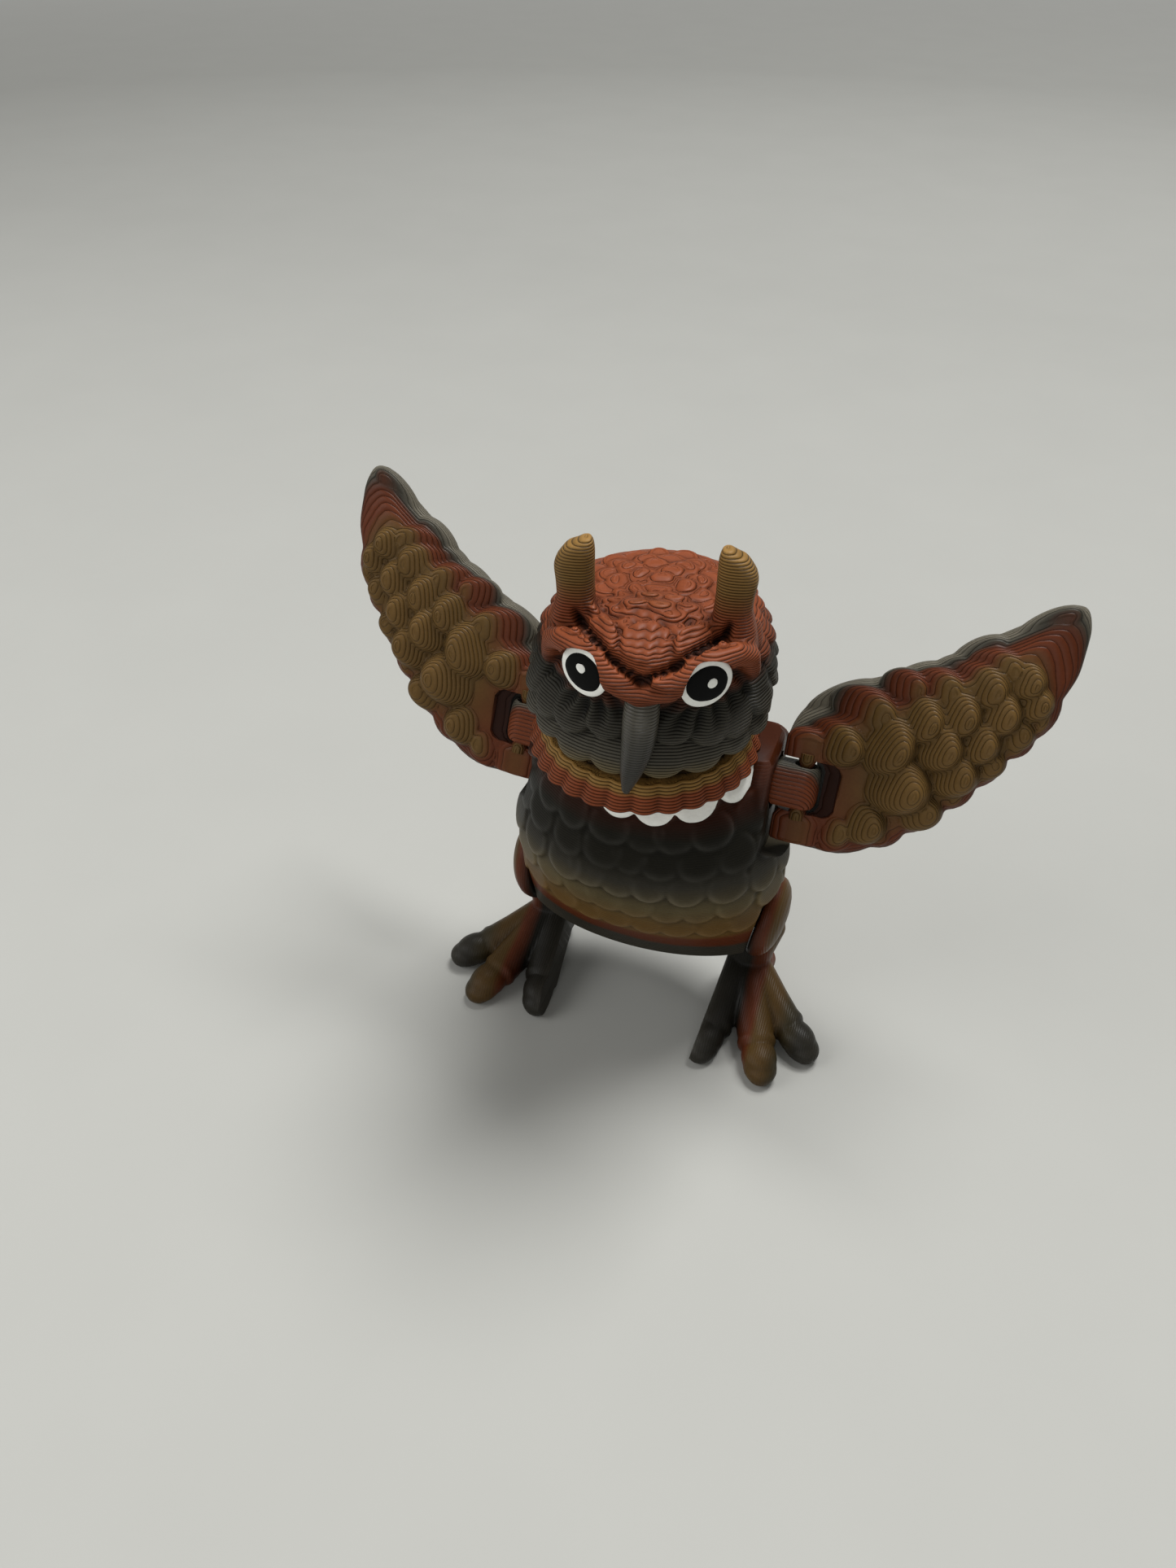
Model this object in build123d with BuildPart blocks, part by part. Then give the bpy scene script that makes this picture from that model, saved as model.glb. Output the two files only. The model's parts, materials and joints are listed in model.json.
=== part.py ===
"""Articulated owl toy, printed in eight plastic pieces and finished with hand-painted films.

Units are millimetres. +Z is up, the owl looks along -Y, and its own left side is +X.
The origin is on the floor, midway between the feet, under the middle of the whole toy.
The head snaps onto a neck post and turns. Each wing hangs on a shoulder link that turns in
the torso, and folds on two pivot cones. Each leg swings on a snap peg in the torso's side.
"""
from build123d import *
import math
import os

os.makedirs("parts", exist_ok=True)

# ---------------------------------------------------------------- driving dimensions
GAP = 0.3                    # free play between two pieces that move on each other
MID_X = -0.94                # the toy's middle, from the middle of the box it fills
MID_Y = 1.3                  # the same, along y: sizes "from the middle" are measured from here

TORSO_BOTTOM = 16.0          # height of the torso's flat underside
TORSO_TOP = 51.7             # height of the shoulder plane
TORSO_HALF_WIDTH = 21.0      # belly half width, before the side facets
BELLY_FRONT = 15.0           # belly, forward of the body's middle
BELLY_BACK = 16.0            # back, behind the body's middle
PLINTH_RADIUS = 12.2         # round step that fills the underside of the head
PLINTH_RISE = 2.3

NECK_FORWARD = 1.5           # neck axis, forward of the body's middle
NECK_RADIUS = 4.5            # neck post
NECK_LENGTH = 3.6            # bare length of the post, above the plinth
NECK_BULB_RADIUS = 6.0       # snap bulb at the top of the post
NECK_BULB_HEIGHT = 3.6

HEAD_TURN = 11.0             # degrees that the head is turned at rest
HEAD_RADIUS = 16.5           # widest part of the head
HEAD_HEIGHT = 25.4           # collar rim to crown
COLLAR_RADIUS = 14.7         # circle on which the collar scallops are centred
COLLAR_SCALLOP_RADIUS = 1.9
COLLAR_SCALLOP_HEIGHT = 3.4
COLLAR_SCALLOPS = 30
COLLAR_GROOVE = 1.6          # groove above the collar, inside the widest part of the head
COLLAR_GROOVE_RISE = 0.8     # height of the slope from the collar's top into the groove
CROWN_SHOULDER = 3.0         # shoulder of the crown, inside the widest part of the head

FACE_RADIUS = 0.7636 * HEAD_RADIUS      # facial disc: half width and half height
FACE_BULGE = 0.6 * HEAD_RADIUS          # half depth of the facial disc
FACE_FORWARD = 0.4364 * HEAD_RADIUS     # centre of the disc, forward of the neck axis
FACE_RISE = 15.2             # centre of the disc, above the collar rim

BEAK_RISE = 20.6             # top of the beak, above the collar rim
BEAK_LENGTH = 13.6
BEAK_RADIUS = 2.2
BEAK_FORWARD = 17.9          # middle of the beak where it stands out furthest
# beak sections from its root to its tip: shares of its length, its reach and its radius
BEAK_SHAPE = ((0.0, 0.872, 0.65), (0.22, 0.944, 1.0), (0.5, 0.983, 0.95), (0.76, 1.0, 0.7), (1.0, 0.989, 0.3))

TUFT_SPREAD = 9.6            # middle of an ear tuft, from the middle of the head
TUFT_FORWARD = 7.7
TUFT_WIDTH = 4.4
TUFT_DEPTH = 3.6
TUFT_TOP_RISE = 34.2         # tip of a tuft, above the collar rim
TUFT_NOTCH = 2.8             # drop from the inner tip to the outer shoulder
TUFT_NOTCH_START = 0.4       # end of the inner tip, toward the middle of the head from the tuft's own
TUFT_NOTCH_END = 0.6         # start of the outer shoulder, on the other side
TUFT_SHOULDER_DROP = 0.4     # fall of the outer shoulder
TUFT_ROOT_RISE = 22.0        # root of a tuft, inside the head

BROW_RADIUS = 1.5
BROW_OUTER_RISE = 26.2       # outer end of a brow ridge, under the tuft
BROW_OUTER_FORWARD = 10.3
BROW_INNER_SPREAD = 1.0      # inner end, over the beak
BROW_INNER_FORWARD = 16.2

EYE_SPREAD = 0.4485 * HEAD_RADIUS
EYE_FORWARD = 0.909 * HEAD_RADIUS
EYE_RISE = 20.4
EYE_MARGIN = 0.2             # bare seat round the paint
EYE_SEAT_DEPTH = 4.0         # how far the seat is cleared in front of the eye
EYE_YAW = 27.0               # degrees that an eye faces outward
EYE_HALF_WIDTH = 3.3
EYE_HALF_HEIGHT = 3.5
EYE_LEAN = 24.0              # degrees that the top of the eye leans outward
PUPIL_SHARE = 0.72
GLINT_RADIUS = 0.7
GLINT_AT = {"left": (0.6, 0.1), "right": (-0.2, 0.6)}     # centre of each glint, from the eye's centre
PAINT = 0.15                 # thickness of a coat of paint

# white scallops painted on the chest: across from the middle, height and radius
CHEST_SCALLOPS = ((-1.3, 48.7, 2.9), (4.0, 48.4, 2.9), (9.2, 49.1, 3.1), (13.8, 50.2, 3.0))

SHOULDER_Y = 2.8             # shoulder axis, behind the body's middle
SHOULDER_Z = 45.5
SHOULDER_BOSS_RADIUS = 7.5
LOBE_RELIEF_RADIUS = 11.0    # flat round the shoulder that clears the wing lobes

WING_X = 21.4                # wing hinge axis, from the middle of the toy
WING_TILT = 21.0             # degrees that the wing leans back at rest
WING_HALF_DEPTH = 3.5        # hinge axis to the back of the wing
WING_RIM = 2.8               # thickness of the trailing rim
WING_TOP = 3.6               # hinge axis to the top of the feathers
WING_MIDDLE = (14.0, 8.0)    # thickest spot of the wing, across from and along the hinge axis
NOTCH_DEPTH = 5.0            # hinge axis to the bottom of the wing's notch
NOTCH_CORNER = 0.9           # radius of the notch's corners
KNUCKLE_LENGTH = 3.6         # length of each round knuckle beside the notch
FEATHER_TIERS = 2            # steps from the rim up to the top of the feathers
TIER_SHRINK = 0.13           # each tier is this share smaller, toward the thickest spot
RIGHT_WING_LIFT = 4.0        # degrees that the right wing and its socket sit higher in the wing's plane

TAB_HALF_HEIGHT = 3.2        # shoulder link, along the hinge axis
TAB_HALF_DEPTH = 2.4
TAB_LENGTH = 4.4             # hinge axis to the inner end of the tab
PIVOT_FACE_GAP = 0.8         # link to wing lobe, along the hinge axis
PIVOT_RADIUS = 1.8
PIVOT_TIP_RADIUS = 0.5
PIVOT_LENGTH = 2.3
LINK_SHAFT_RADIUS = 2.2
LINK_SHAFT_LENGTH = 3.7
LINK_BULB_RADIUS = 3.1
LINK_BULB_LENGTH = 2.2

FACET_TILT = 10.5            # degrees that a side facet leans out at the top
HIP_X = 17.8
HIP_Y = 1.6                  # hip axis, behind the body's middle
HIP_Z = 19.6
HAUNCH_RADIUS = 6.8
HAUNCH_DEPTH = 4.5
PEG_RADIUS = 2.4
PEG_LENGTH = 4.5
PEG_BULB_RADIUS = 3.3
PEG_BULB_LENGTH = 2.2

FOOT_INNER = 1.8             # inner face of the foot, inside the facet plane
ANKLE_X = 16.6
ANKLE_Y = 3.0                # ankle, behind the body's middle
ANKLE_Z = 6.8
ANKLE_RADIUS = 3.9
TOE_ROOT_RADIUS = 3.4
TOE_KNUCKLE_RADIUS = 2.75
CLAW_ROOT_RADIUS = 2.5
CLAW_TIP_RADIUS = 1.6
TOE_TIPS = ((14.2, -14.2), (24.1, -15.2), (29.9, -8.4), (18.6, 9.6))   # x and y from the body's middle
CLAW_LENGTH = 6.4
SOLE_FLAT = 0.7              # how far the floor plane cuts into the toes and claws

# ---------------------------------------------------------------- frames and derived sizes
RIM_Z = TORSO_TOP + GAP
PLINTH_TOP = TORSO_TOP + PLINTH_RISE
BULB_BOTTOM = PLINTH_TOP + NECK_LENGTH
NECK_Y = MID_Y - NECK_FORWARD
MIDDLE = Plane.YZ.offset(MID_X)                           # the toy's mirror plane
HEAD_FRAME = Plane((MID_X, NECK_Y, RIM_Z), x_dir=(math.cos(math.radians(HEAD_TURN)),
                                              math.sin(math.radians(HEAD_TURN)), 0))
TILT = math.radians(WING_TILT)
WING_FRAME = Plane((MID_X + WING_X, MID_Y + SHOULDER_Y, SHOULDER_Z), x_dir=(1, 0, 0),
                   z_dir=(0, -math.cos(TILT), math.sin(TILT)))
SHOULDER_FRAME = Plane((MID_X, MID_Y + SHOULDER_Y, SHOULDER_Z), x_dir=WING_FRAME.y_dir, z_dir=(1, 0, 0))
LEAN = math.radians(FACET_TILT)
HIP_FRAME = Plane((MID_X + HIP_X, MID_Y + HIP_Y, HIP_Z), x_dir=(0, 1, 0),
                  z_dir=(math.cos(LEAN), 0, -math.sin(LEAN)))
NOTCH_HALF_HEIGHT = TAB_HALF_HEIGHT + PIVOT_FACE_GAP
KNUCKLE_END = NOTCH_HALF_HEIGHT + KNUCKLE_LENGTH
MOUTH_RADIUS = math.hypot(TAB_HALF_HEIGHT, TAB_HALF_DEPTH) + GAP
TAB_INNER_X = WING_X - TAB_LENGTH
LOBE_RELIEF_X = WING_X - WING_HALF_DEPTH - GAP


# the right wing is lifted about this axis, square to the wing at the mouth of its socket
LIFT_AXIS = Axis((MID_X - TAB_INNER_X, MID_Y + SHOULDER_Y, SHOULDER_Z), -WING_FRAME.z_dir)


def torso_section(rise, width, front, back):
    """Height, half width, centre and half depth of one torso section, from shares of the belly."""
    half_depth = (BELLY_FRONT * front + BELLY_BACK * back) / 2
    centre = MID_Y + (BELLY_BACK * back - BELLY_FRONT * front) / 2
    height = TORSO_BOTTOM + (TORSO_TOP - TORSO_BOTTOM) * rise
    return height, TORSO_HALF_WIDTH * width, centre, half_depth


TORSO_SHAPE = [
    torso_section(0.00, 0.980, 0.60, 0.70),
    torso_section(0.25, 0.990, 0.85, 0.88),
    torso_section(0.50, 1.000, 1.00, 1.00),
    torso_section(0.66, 0.925, 0.98, 0.97),
    torso_section(0.83, 0.820, 0.92, 0.88),
    torso_section(1.00, 0.730, 0.84, 0.76),
]


def torso_loft(extra=0.0):
    """The torso's feathered body, grown outward by extra."""
    sections = []
    for height, half_width, centre, half_depth in TORSO_SHAPE:
        with BuildSketch(Plane.XY.offset(height)) as section:
            with Locations((MID_X, centre)):
                Ellipse(half_width + extra, half_depth + extra)
        sections.append(section.sketch.face())
    loft(sections)


def stepped_bore(plane, steps):
    """Cut coaxial bores along the plane's normal: (radius, from, to) for each step."""
    for radius, start, end in steps:
        with BuildSketch(plane.offset(start)) as ring:
            Circle(radius)
        extrude(ring.sketch, amount=end - start, mode=Mode.SUBTRACT)


def mirrored_plane(plane):
    """The same plane on the other side of the toy, with its normal still pointing out."""
    return Plane((2 * MID_X - plane.origin.X, plane.origin.Y, plane.origin.Z),
                 x_dir=(-plane.x_dir.X, plane.x_dir.Y, plane.x_dir.Z),
                 z_dir=(-plane.z_dir.X, plane.z_dir.Y, plane.z_dir.Z))


def lifted_plane(plane):
    """The plane turned with the lifted right wing."""
    origin = Vertex(*plane.origin).rotate(LIFT_AXIS, RIGHT_WING_LIFT).center()
    turn = Axis((0, 0, 0), LIFT_AXIS.direction)
    return Plane(origin, x_dir=plane.x_dir.rotate(turn, RIGHT_WING_LIFT),
                 z_dir=plane.z_dir.rotate(turn, RIGHT_WING_LIFT))


def bar(start, end, start_radius, end_radius):
    """A round bar, tapered or straight, from one point to another."""
    run = Vector(*end) - Vector(*start)
    with Locations(Plane(start, z_dir=run)):
        if abs(start_radius - end_radius) < 1e-6:
            Cylinder(start_radius, run.length, align=(Align.CENTER, Align.CENTER, Align.MIN))
        else:
            Cone(start_radius, end_radius, run.length, align=(Align.CENTER, Align.CENTER, Align.MIN))


# ---------------------------------------------------------------- torso
hip_frames = [HIP_FRAME, mirrored_plane(HIP_FRAME)]
shoulder_frames = [SHOULDER_FRAME, lifted_plane(mirrored_plane(SHOULDER_FRAME))]

with BuildPart() as torso:
    torso_loft()
    for plane in shoulder_frames:
        with BuildSketch(plane):
            Circle(SHOULDER_BOSS_RADIUS)
        extrude(amount=LOBE_RELIEF_X)
    # the head turns above this, so nothing but the plinth stands under its collar
    with BuildSketch(Plane.XY.offset(TORSO_TOP)):
        with Locations((MID_X, NECK_Y)):
            Circle(COLLAR_RADIUS + COLLAR_SCALLOP_RADIUS + GAP)
    extrude(amount=SHOULDER_BOSS_RADIUS, mode=Mode.SUBTRACT)
    with BuildSketch(Plane.XY.offset(TORSO_TOP)):
        with Locations((MID_X, NECK_Y)):
            Circle(PLINTH_RADIUS)
    extrude(amount=PLINTH_RISE)
    with BuildSketch(Plane.XY.offset(PLINTH_TOP)):
        with Locations((MID_X, NECK_Y)):
            Circle(NECK_RADIUS)
    extrude(amount=NECK_LENGTH)
    with BuildSketch(Plane.XY.offset(BULB_BOTTOM)):
        with Locations((MID_X, NECK_Y)):
            Circle(NECK_BULB_RADIUS)
    extrude(amount=NECK_BULB_HEIGHT)
    chamfer(torso.edges().filter_by(GeomType.CIRCLE).sort_by(Axis.Z)[-1], NECK_BULB_RADIUS / 4)
    # side facets, on which the haunches lie
    for plane in hip_frames:
        split(bisect_by=plane, keep=Keep.BOTTOM)
    # hip sockets
    for plane in hip_frames:
        stepped_bore(plane, [(PEG_RADIUS + GAP, GAP, GAP - PEG_LENGTH),
                             (PEG_BULB_RADIUS + GAP, 2 * GAP - PEG_LENGTH,
                              -PEG_LENGTH - PEG_BULB_LENGTH)])
    # shoulder sockets and the relief for the wing lobes
    shaft_end = TAB_INNER_X - LINK_SHAFT_LENGTH
    for plane in shoulder_frames:
        stepped_bore(plane, [(MOUTH_RADIUS, WING_X, TAB_INNER_X - GAP),
                             (LINK_SHAFT_RADIUS + GAP, TAB_INNER_X, shaft_end + GAP),
                             (LINK_BULB_RADIUS + GAP, shaft_end + GAP, shaft_end - LINK_BULB_LENGTH - GAP)])
        with BuildSketch(plane.offset(LOBE_RELIEF_X)):
            Circle(LOBE_RELIEF_RADIUS)
        extrude(amount=TORSO_HALF_WIDTH, mode=Mode.SUBTRACT)
torso.part.label = "torso"
export_step(torso.part, "parts/torso.step")

# ---------------------------------------------------------------- painted chest scallops
with BuildPart() as chest_paint:
    torso_loft(PAINT)
    with BuildSketch(Plane.XZ):
        for across, height, radius in CHEST_SCALLOPS:
            with Locations((MID_X + across, height)):
                Circle(radius)
    extrude(amount=2 * BELLY_FRONT, mode=Mode.INTERSECT)
    add(torso.part, mode=Mode.SUBTRACT)
chest_paint.part.label = "chest_paint"
export_step(chest_paint.part, "parts/chest_paint.step")

# ---------------------------------------------------------------- head
def eye_plane(side):
    """Plane of one eye in the toy's frame, facing outward from the facial disc."""
    centre = HEAD_FRAME.from_local_coords(Vector(side * EYE_SPREAD, -EYE_FORWARD, EYE_RISE))
    yaw = math.radians(HEAD_TURN + side * EYE_YAW)
    across = (math.cos(yaw), math.sin(yaw), 0)
    return Plane(centre, x_dir=across, z_dir=(math.sin(yaw), -math.cos(yaw), 0))


HEAD_SIDE_PLANE = Plane(HEAD_FRAME.origin, x_dir=HEAD_FRAME.x_dir, z_dir=-HEAD_FRAME.y_dir)
SIDES = {"left": 1, "right": -1}

with BuildPart() as head:
    groove_radius = HEAD_RADIUS - COLLAR_GROOVE
    groove_rise = COLLAR_SCALLOP_HEIGHT + COLLAR_GROOVE_RISE
    shoulder_radius = HEAD_RADIUS - CROWN_SHOULDER
    crown_radius = 0.55 * HEAD_RADIUS
    with BuildSketch(HEAD_SIDE_PLANE):
        with BuildLine():
            Polyline((0, 0), (COLLAR_RADIUS, 0), (COLLAR_RADIUS, COLLAR_SCALLOP_HEIGHT),
                     (groove_radius, groove_rise))
            ThreePointArc((groove_radius, groove_rise), (HEAD_RADIUS, 0.4 * HEAD_HEIGHT),
                          (shoulder_radius, 0.84 * HEAD_HEIGHT))
            Line((shoulder_radius, 0.84 * HEAD_HEIGHT), (crown_radius, 0.965 * HEAD_HEIGHT))
            ThreePointArc((crown_radius, 0.965 * HEAD_HEIGHT), (0.5 * crown_radius, 0.992 * HEAD_HEIGHT),
                          (0, HEAD_HEIGHT))
            Line((0, HEAD_HEIGHT), (0, 0))
        make_face()
    revolve(axis=Axis(HEAD_FRAME.origin, (0, 0, 1)))
    # scalloped collar
    with Locations(HEAD_FRAME):
        with PolarLocations(COLLAR_RADIUS, COLLAR_SCALLOPS):
            Cylinder(COLLAR_SCALLOP_RADIUS, COLLAR_SCALLOP_HEIGHT,
                     align=(Align.CENTER, Align.CENTER, Align.MIN))
    # facial disc
    face_centre = HEAD_FRAME.from_local_coords(Vector(0, -FACE_FORWARD, FACE_RISE))
    with BuildSketch(Plane(face_centre, x_dir=HEAD_FRAME.x_dir, z_dir=(0, 0, 1))):
        with BuildLine():
            EllipticalCenterArc((0, 0), FACE_RADIUS, FACE_BULGE, start_angle=-90, arc_size=180)
            Line((0, FACE_BULGE), (0, -FACE_BULGE))
        make_face()
    revolve(axis=Axis(face_centre, -HEAD_FRAME.y_dir))
    # brow ridges from the tufts to the beak, and the tufts themselves
    for side in SIDES.values():
        brow_outer = HEAD_FRAME.from_local_coords(Vector(side * TUFT_SPREAD, -BROW_OUTER_FORWARD,
                                                         BROW_OUTER_RISE))
        brow_inner = HEAD_FRAME.from_local_coords(Vector(side * BROW_INNER_SPREAD, -BROW_INNER_FORWARD,
                                                         BEAK_RISE))
        bar(brow_outer, brow_inner, BROW_RADIUS, BROW_RADIUS)
        tuft_plane = HEAD_SIDE_PLANE.offset(TUFT_FORWARD - TUFT_DEPTH / 2)
        with BuildSketch(tuft_plane):
            with BuildLine():
                inner = side * (TUFT_SPREAD - TUFT_WIDTH / 2)
                outer = side * (TUFT_SPREAD + TUFT_WIDTH / 2)
                shoulder = TUFT_TOP_RISE - TUFT_NOTCH
                Polyline((inner, TUFT_ROOT_RISE), (inner, TUFT_TOP_RISE),
                         (side * (TUFT_SPREAD - TUFT_NOTCH_START), TUFT_TOP_RISE),
                         (side * (TUFT_SPREAD + TUFT_NOTCH_END), shoulder),
                         (outer, shoulder - TUFT_SHOULDER_DROP), (outer, TUFT_ROOT_RISE), close=True)
            make_face()
        extrude(amount=TUFT_DEPTH)
    # hooked beak
    for drop, reach, radius in BEAK_SHAPE:
        with BuildSketch(HEAD_FRAME.offset(BEAK_RISE - drop * BEAK_LENGTH)):
            with Locations((0, -reach * BEAK_FORWARD)):
                Circle(BEAK_RADIUS * radius)
    loft()
    # flat seats for the eyes
    for side in SIDES.values():
        with BuildSketch(eye_plane(side)):
            Ellipse(EYE_HALF_WIDTH + EYE_MARGIN, EYE_HALF_HEIGHT + EYE_MARGIN, rotation=-side * EYE_LEAN)
        extrude(amount=EYE_SEAT_DEPTH, mode=Mode.SUBTRACT)
    # underside: room for the plinth, the neck post and its bulb
    chamber_floor = BULB_BOTTOM - GAP - RIM_Z
    stepped_bore(HEAD_FRAME, [(PLINTH_RADIUS + GAP, 0, PLINTH_TOP + GAP - RIM_Z),
                              (NECK_RADIUS + GAP, 0, chamber_floor),
                              (NECK_BULB_RADIUS + GAP, chamber_floor,
                               chamber_floor + NECK_BULB_HEIGHT + 2 * GAP)])
head.part.label = "head"
export_step(head.part, "parts/head.step")

# ---------------------------------------------------------------- painted eyes
for name, side in SIDES.items():
    seat = eye_plane(side)
    with BuildPart() as eye_white:
        with BuildSketch(seat):
            Ellipse(EYE_HALF_WIDTH, EYE_HALF_HEIGHT, rotation=-side * EYE_LEAN)
        extrude(amount=PAINT)
    eye_white.part.label = f"eye_white_{name}"
    export_step(eye_white.part, f"parts/{eye_white.part.label}.step")

    with BuildPart() as eye_pupil:
        with BuildSketch(seat.offset(PAINT)):
            Ellipse(EYE_HALF_WIDTH * PUPIL_SHARE, EYE_HALF_HEIGHT * PUPIL_SHARE, rotation=-side * EYE_LEAN)
        extrude(amount=PAINT)
    eye_pupil.part.label = f"eye_pupil_{name}"
    export_step(eye_pupil.part, f"parts/{eye_pupil.part.label}.step")

    with BuildPart() as eye_glint:
        with BuildSketch(seat.offset(2 * PAINT)):
            with Locations(GLINT_AT[name]):
                Circle(GLINT_RADIUS)
        extrude(amount=PAINT)
    eye_glint.part.label = f"eye_glint_{name}"
    export_step(eye_glint.part, f"parts/{eye_glint.part.label}.step")

# ---------------------------------------------------------------- wings
# outline in the wing frame: across from the hinge axis, and along it
ROOT = -WING_HALF_DEPTH                                   # rounded ends of the lobes
LEADING_EDGE = [(ROOT, 7.2), (-1.4, 11.4), (3.8, 15.4), (12.0, 19.4), (20.8, 25.5), (29.2, 31.6)]
TIP = [(31.3, 31.2), (32.3, 28.9), (32.2, 24.0)]
SCALLOP_CORNERS = [(31.0, 19.2), (29.0, 13.2), (26.2, 9.9), (23.1, 4.8), (19.9, 0.8), (15.2, -4.0),
                   (11.0, -7.2), (3.2, -9.4)]
SCALLOP_BULGE = 0.9
LOWER_LOBE = [(3.2, -9.4), (-0.6, -8.4), (ROOT, -5.0)]


def bulged(start, end, bulge):
    """Middle point of an arc from start to end that bulges to the right of the run."""
    run = Vector(*end) - Vector(*start)
    middle = (Vector(*start) + Vector(*end)) / 2
    outward = Vector(-run.Y, run.X).normalized()
    return middle + outward * bulge


def wing_outline(share):
    """Sketch of the wing's outline with its notch, drawn toward the thickest spot to this share."""
    def drawn(points):
        middle_x, middle_y = WING_MIDDLE
        return [(middle_x + (x - middle_x) * share, middle_y + (y - middle_y) * share) for x, y in points]

    leading, tip, scallops = drawn(LEADING_EDGE), drawn(TIP), drawn(SCALLOP_CORNERS)
    lobe = drawn(LOWER_LOBE)
    with BuildSketch() as outline:
        with BuildLine():
            Spline(*leading, tangents=[(0, 1), (1, 0.7)])
            ThreePointArc(leading[-1], tip[0], tip[1])
            ThreePointArc(tip[1], tip[2], scallops[0])
            for start, end in zip(scallops, scallops[1:]):
                ThreePointArc(start, bulged(start, end, SCALLOP_BULGE * share), end)
            ThreePointArc(*lobe)
            Line(lobe[-1], leading[0])
        make_face()
        with Locations((0, 0)):
            RectangleRounded(2 * NOTCH_DEPTH, 2 * NOTCH_HALF_HEIGHT, NOTCH_CORNER, mode=Mode.SUBTRACT)
    return outline.sketch


plate_outline = wing_outline(1)
tier_outlines = [wing_outline(1 - TIER_SHRINK * (tier + 1)) for tier in range(FEATHER_TIERS)]
tier_rise = (WING_TOP + WING_HALF_DEPTH - WING_RIM) / FEATHER_TIERS

with BuildPart() as wing_left:
    extrude(WING_FRAME.offset(-WING_HALF_DEPTH) * plate_outline, amount=WING_RIM)
    for tier, outline in enumerate(tier_outlines):
        tier_plane = WING_FRAME.offset(WING_RIM - WING_HALF_DEPTH + tier * tier_rise)
        extrude(tier_plane * outline, amount=tier_rise)
    hinge_plane = Plane(WING_FRAME.origin, x_dir=WING_FRAME.x_dir, z_dir=WING_FRAME.y_dir)
    # round knuckles about the hinge axis, beside the notch
    for start, end in ((NOTCH_HALF_HEIGHT, KNUCKLE_END), (-NOTCH_HALF_HEIGHT, -KNUCKLE_END)):
        with BuildSketch(hinge_plane.offset(start)):
            with Locations((WING_HALF_DEPTH, 0)):
                Rectangle(2 * WING_HALF_DEPTH, 2 * WING_HALF_DEPTH)
            Circle(WING_HALF_DEPTH)
        extrude(amount=end - start)
    # lobes are round about the hinge axis
    wing_height = LEADING_EDGE[-1][1] - SCALLOP_CORNERS[-1][1]
    with BuildSketch(hinge_plane):
        with Locations((-WING_HALF_DEPTH, 0)):
            Rectangle(2 * WING_HALF_DEPTH, 4 * WING_HALF_DEPTH)
        Circle(WING_HALF_DEPTH, mode=Mode.SUBTRACT)
    extrude(amount=wing_height, both=True, mode=Mode.SUBTRACT)
    # pivot cones
    for way in (1, -1):
        with Locations(Plane(WING_FRAME.from_local_coords(Vector(0, way * NOTCH_HALF_HEIGHT, 0)),
                             z_dir=-way * WING_FRAME.y_dir)):
            Cone(PIVOT_RADIUS, PIVOT_TIP_RADIUS, PIVOT_LENGTH, align=(Align.CENTER, Align.CENTER, Align.MIN))
wing_left.part.label = "wing_left"
export_step(wing_left.part, "parts/wing_left.step")

with BuildPart() as wing_right:
    add(mirror(wing_left.part, about=MIDDLE, mode=Mode.PRIVATE).rotate(LIFT_AXIS, RIGHT_WING_LIFT))
wing_right.part.label = "wing_right"
export_step(wing_right.part, "parts/wing_right.step")

# ---------------------------------------------------------------- shoulder links
with BuildPart() as shoulder_link_left:
    hinge_base = Plane(WING_FRAME.from_local_coords(Vector(0, -TAB_HALF_HEIGHT, 0)),
                       x_dir=WING_FRAME.x_dir, z_dir=WING_FRAME.y_dir)
    with BuildSketch(hinge_base):
        with Locations((-TAB_LENGTH / 2, 0)):
            Rectangle(TAB_LENGTH, 2 * TAB_HALF_DEPTH)
        Circle(TAB_HALF_DEPTH)
    extrude(amount=2 * TAB_HALF_HEIGHT)
    for way in (1, -1):
        with Locations(Plane(WING_FRAME.from_local_coords(Vector(0, way * NOTCH_HALF_HEIGHT, 0)),
                             z_dir=-way * WING_FRAME.y_dir)):
            Cone(PIVOT_RADIUS + GAP, PIVOT_TIP_RADIUS + GAP, PIVOT_LENGTH + GAP,
                 align=(Align.CENTER, Align.CENTER, Align.MIN), mode=Mode.SUBTRACT)
    with BuildSketch(SHOULDER_FRAME.offset(TAB_INNER_X)):
        Circle(LINK_SHAFT_RADIUS)
    extrude(amount=-LINK_SHAFT_LENGTH)
    with BuildSketch(SHOULDER_FRAME.offset(TAB_INNER_X - LINK_SHAFT_LENGTH)):
        Circle(LINK_BULB_RADIUS)
    extrude(amount=-LINK_BULB_LENGTH)
shoulder_link_left.part.label = "shoulder_link_left"
export_step(shoulder_link_left.part, "parts/shoulder_link_left.step")

with BuildPart() as shoulder_link_right:
    add(mirror(shoulder_link_left.part, about=MIDDLE, mode=Mode.PRIVATE).rotate(LIFT_AXIS, RIGHT_WING_LIFT))
shoulder_link_right.part.label = "shoulder_link_right"
export_step(shoulder_link_right.part, "parts/shoulder_link_right.step")

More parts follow.
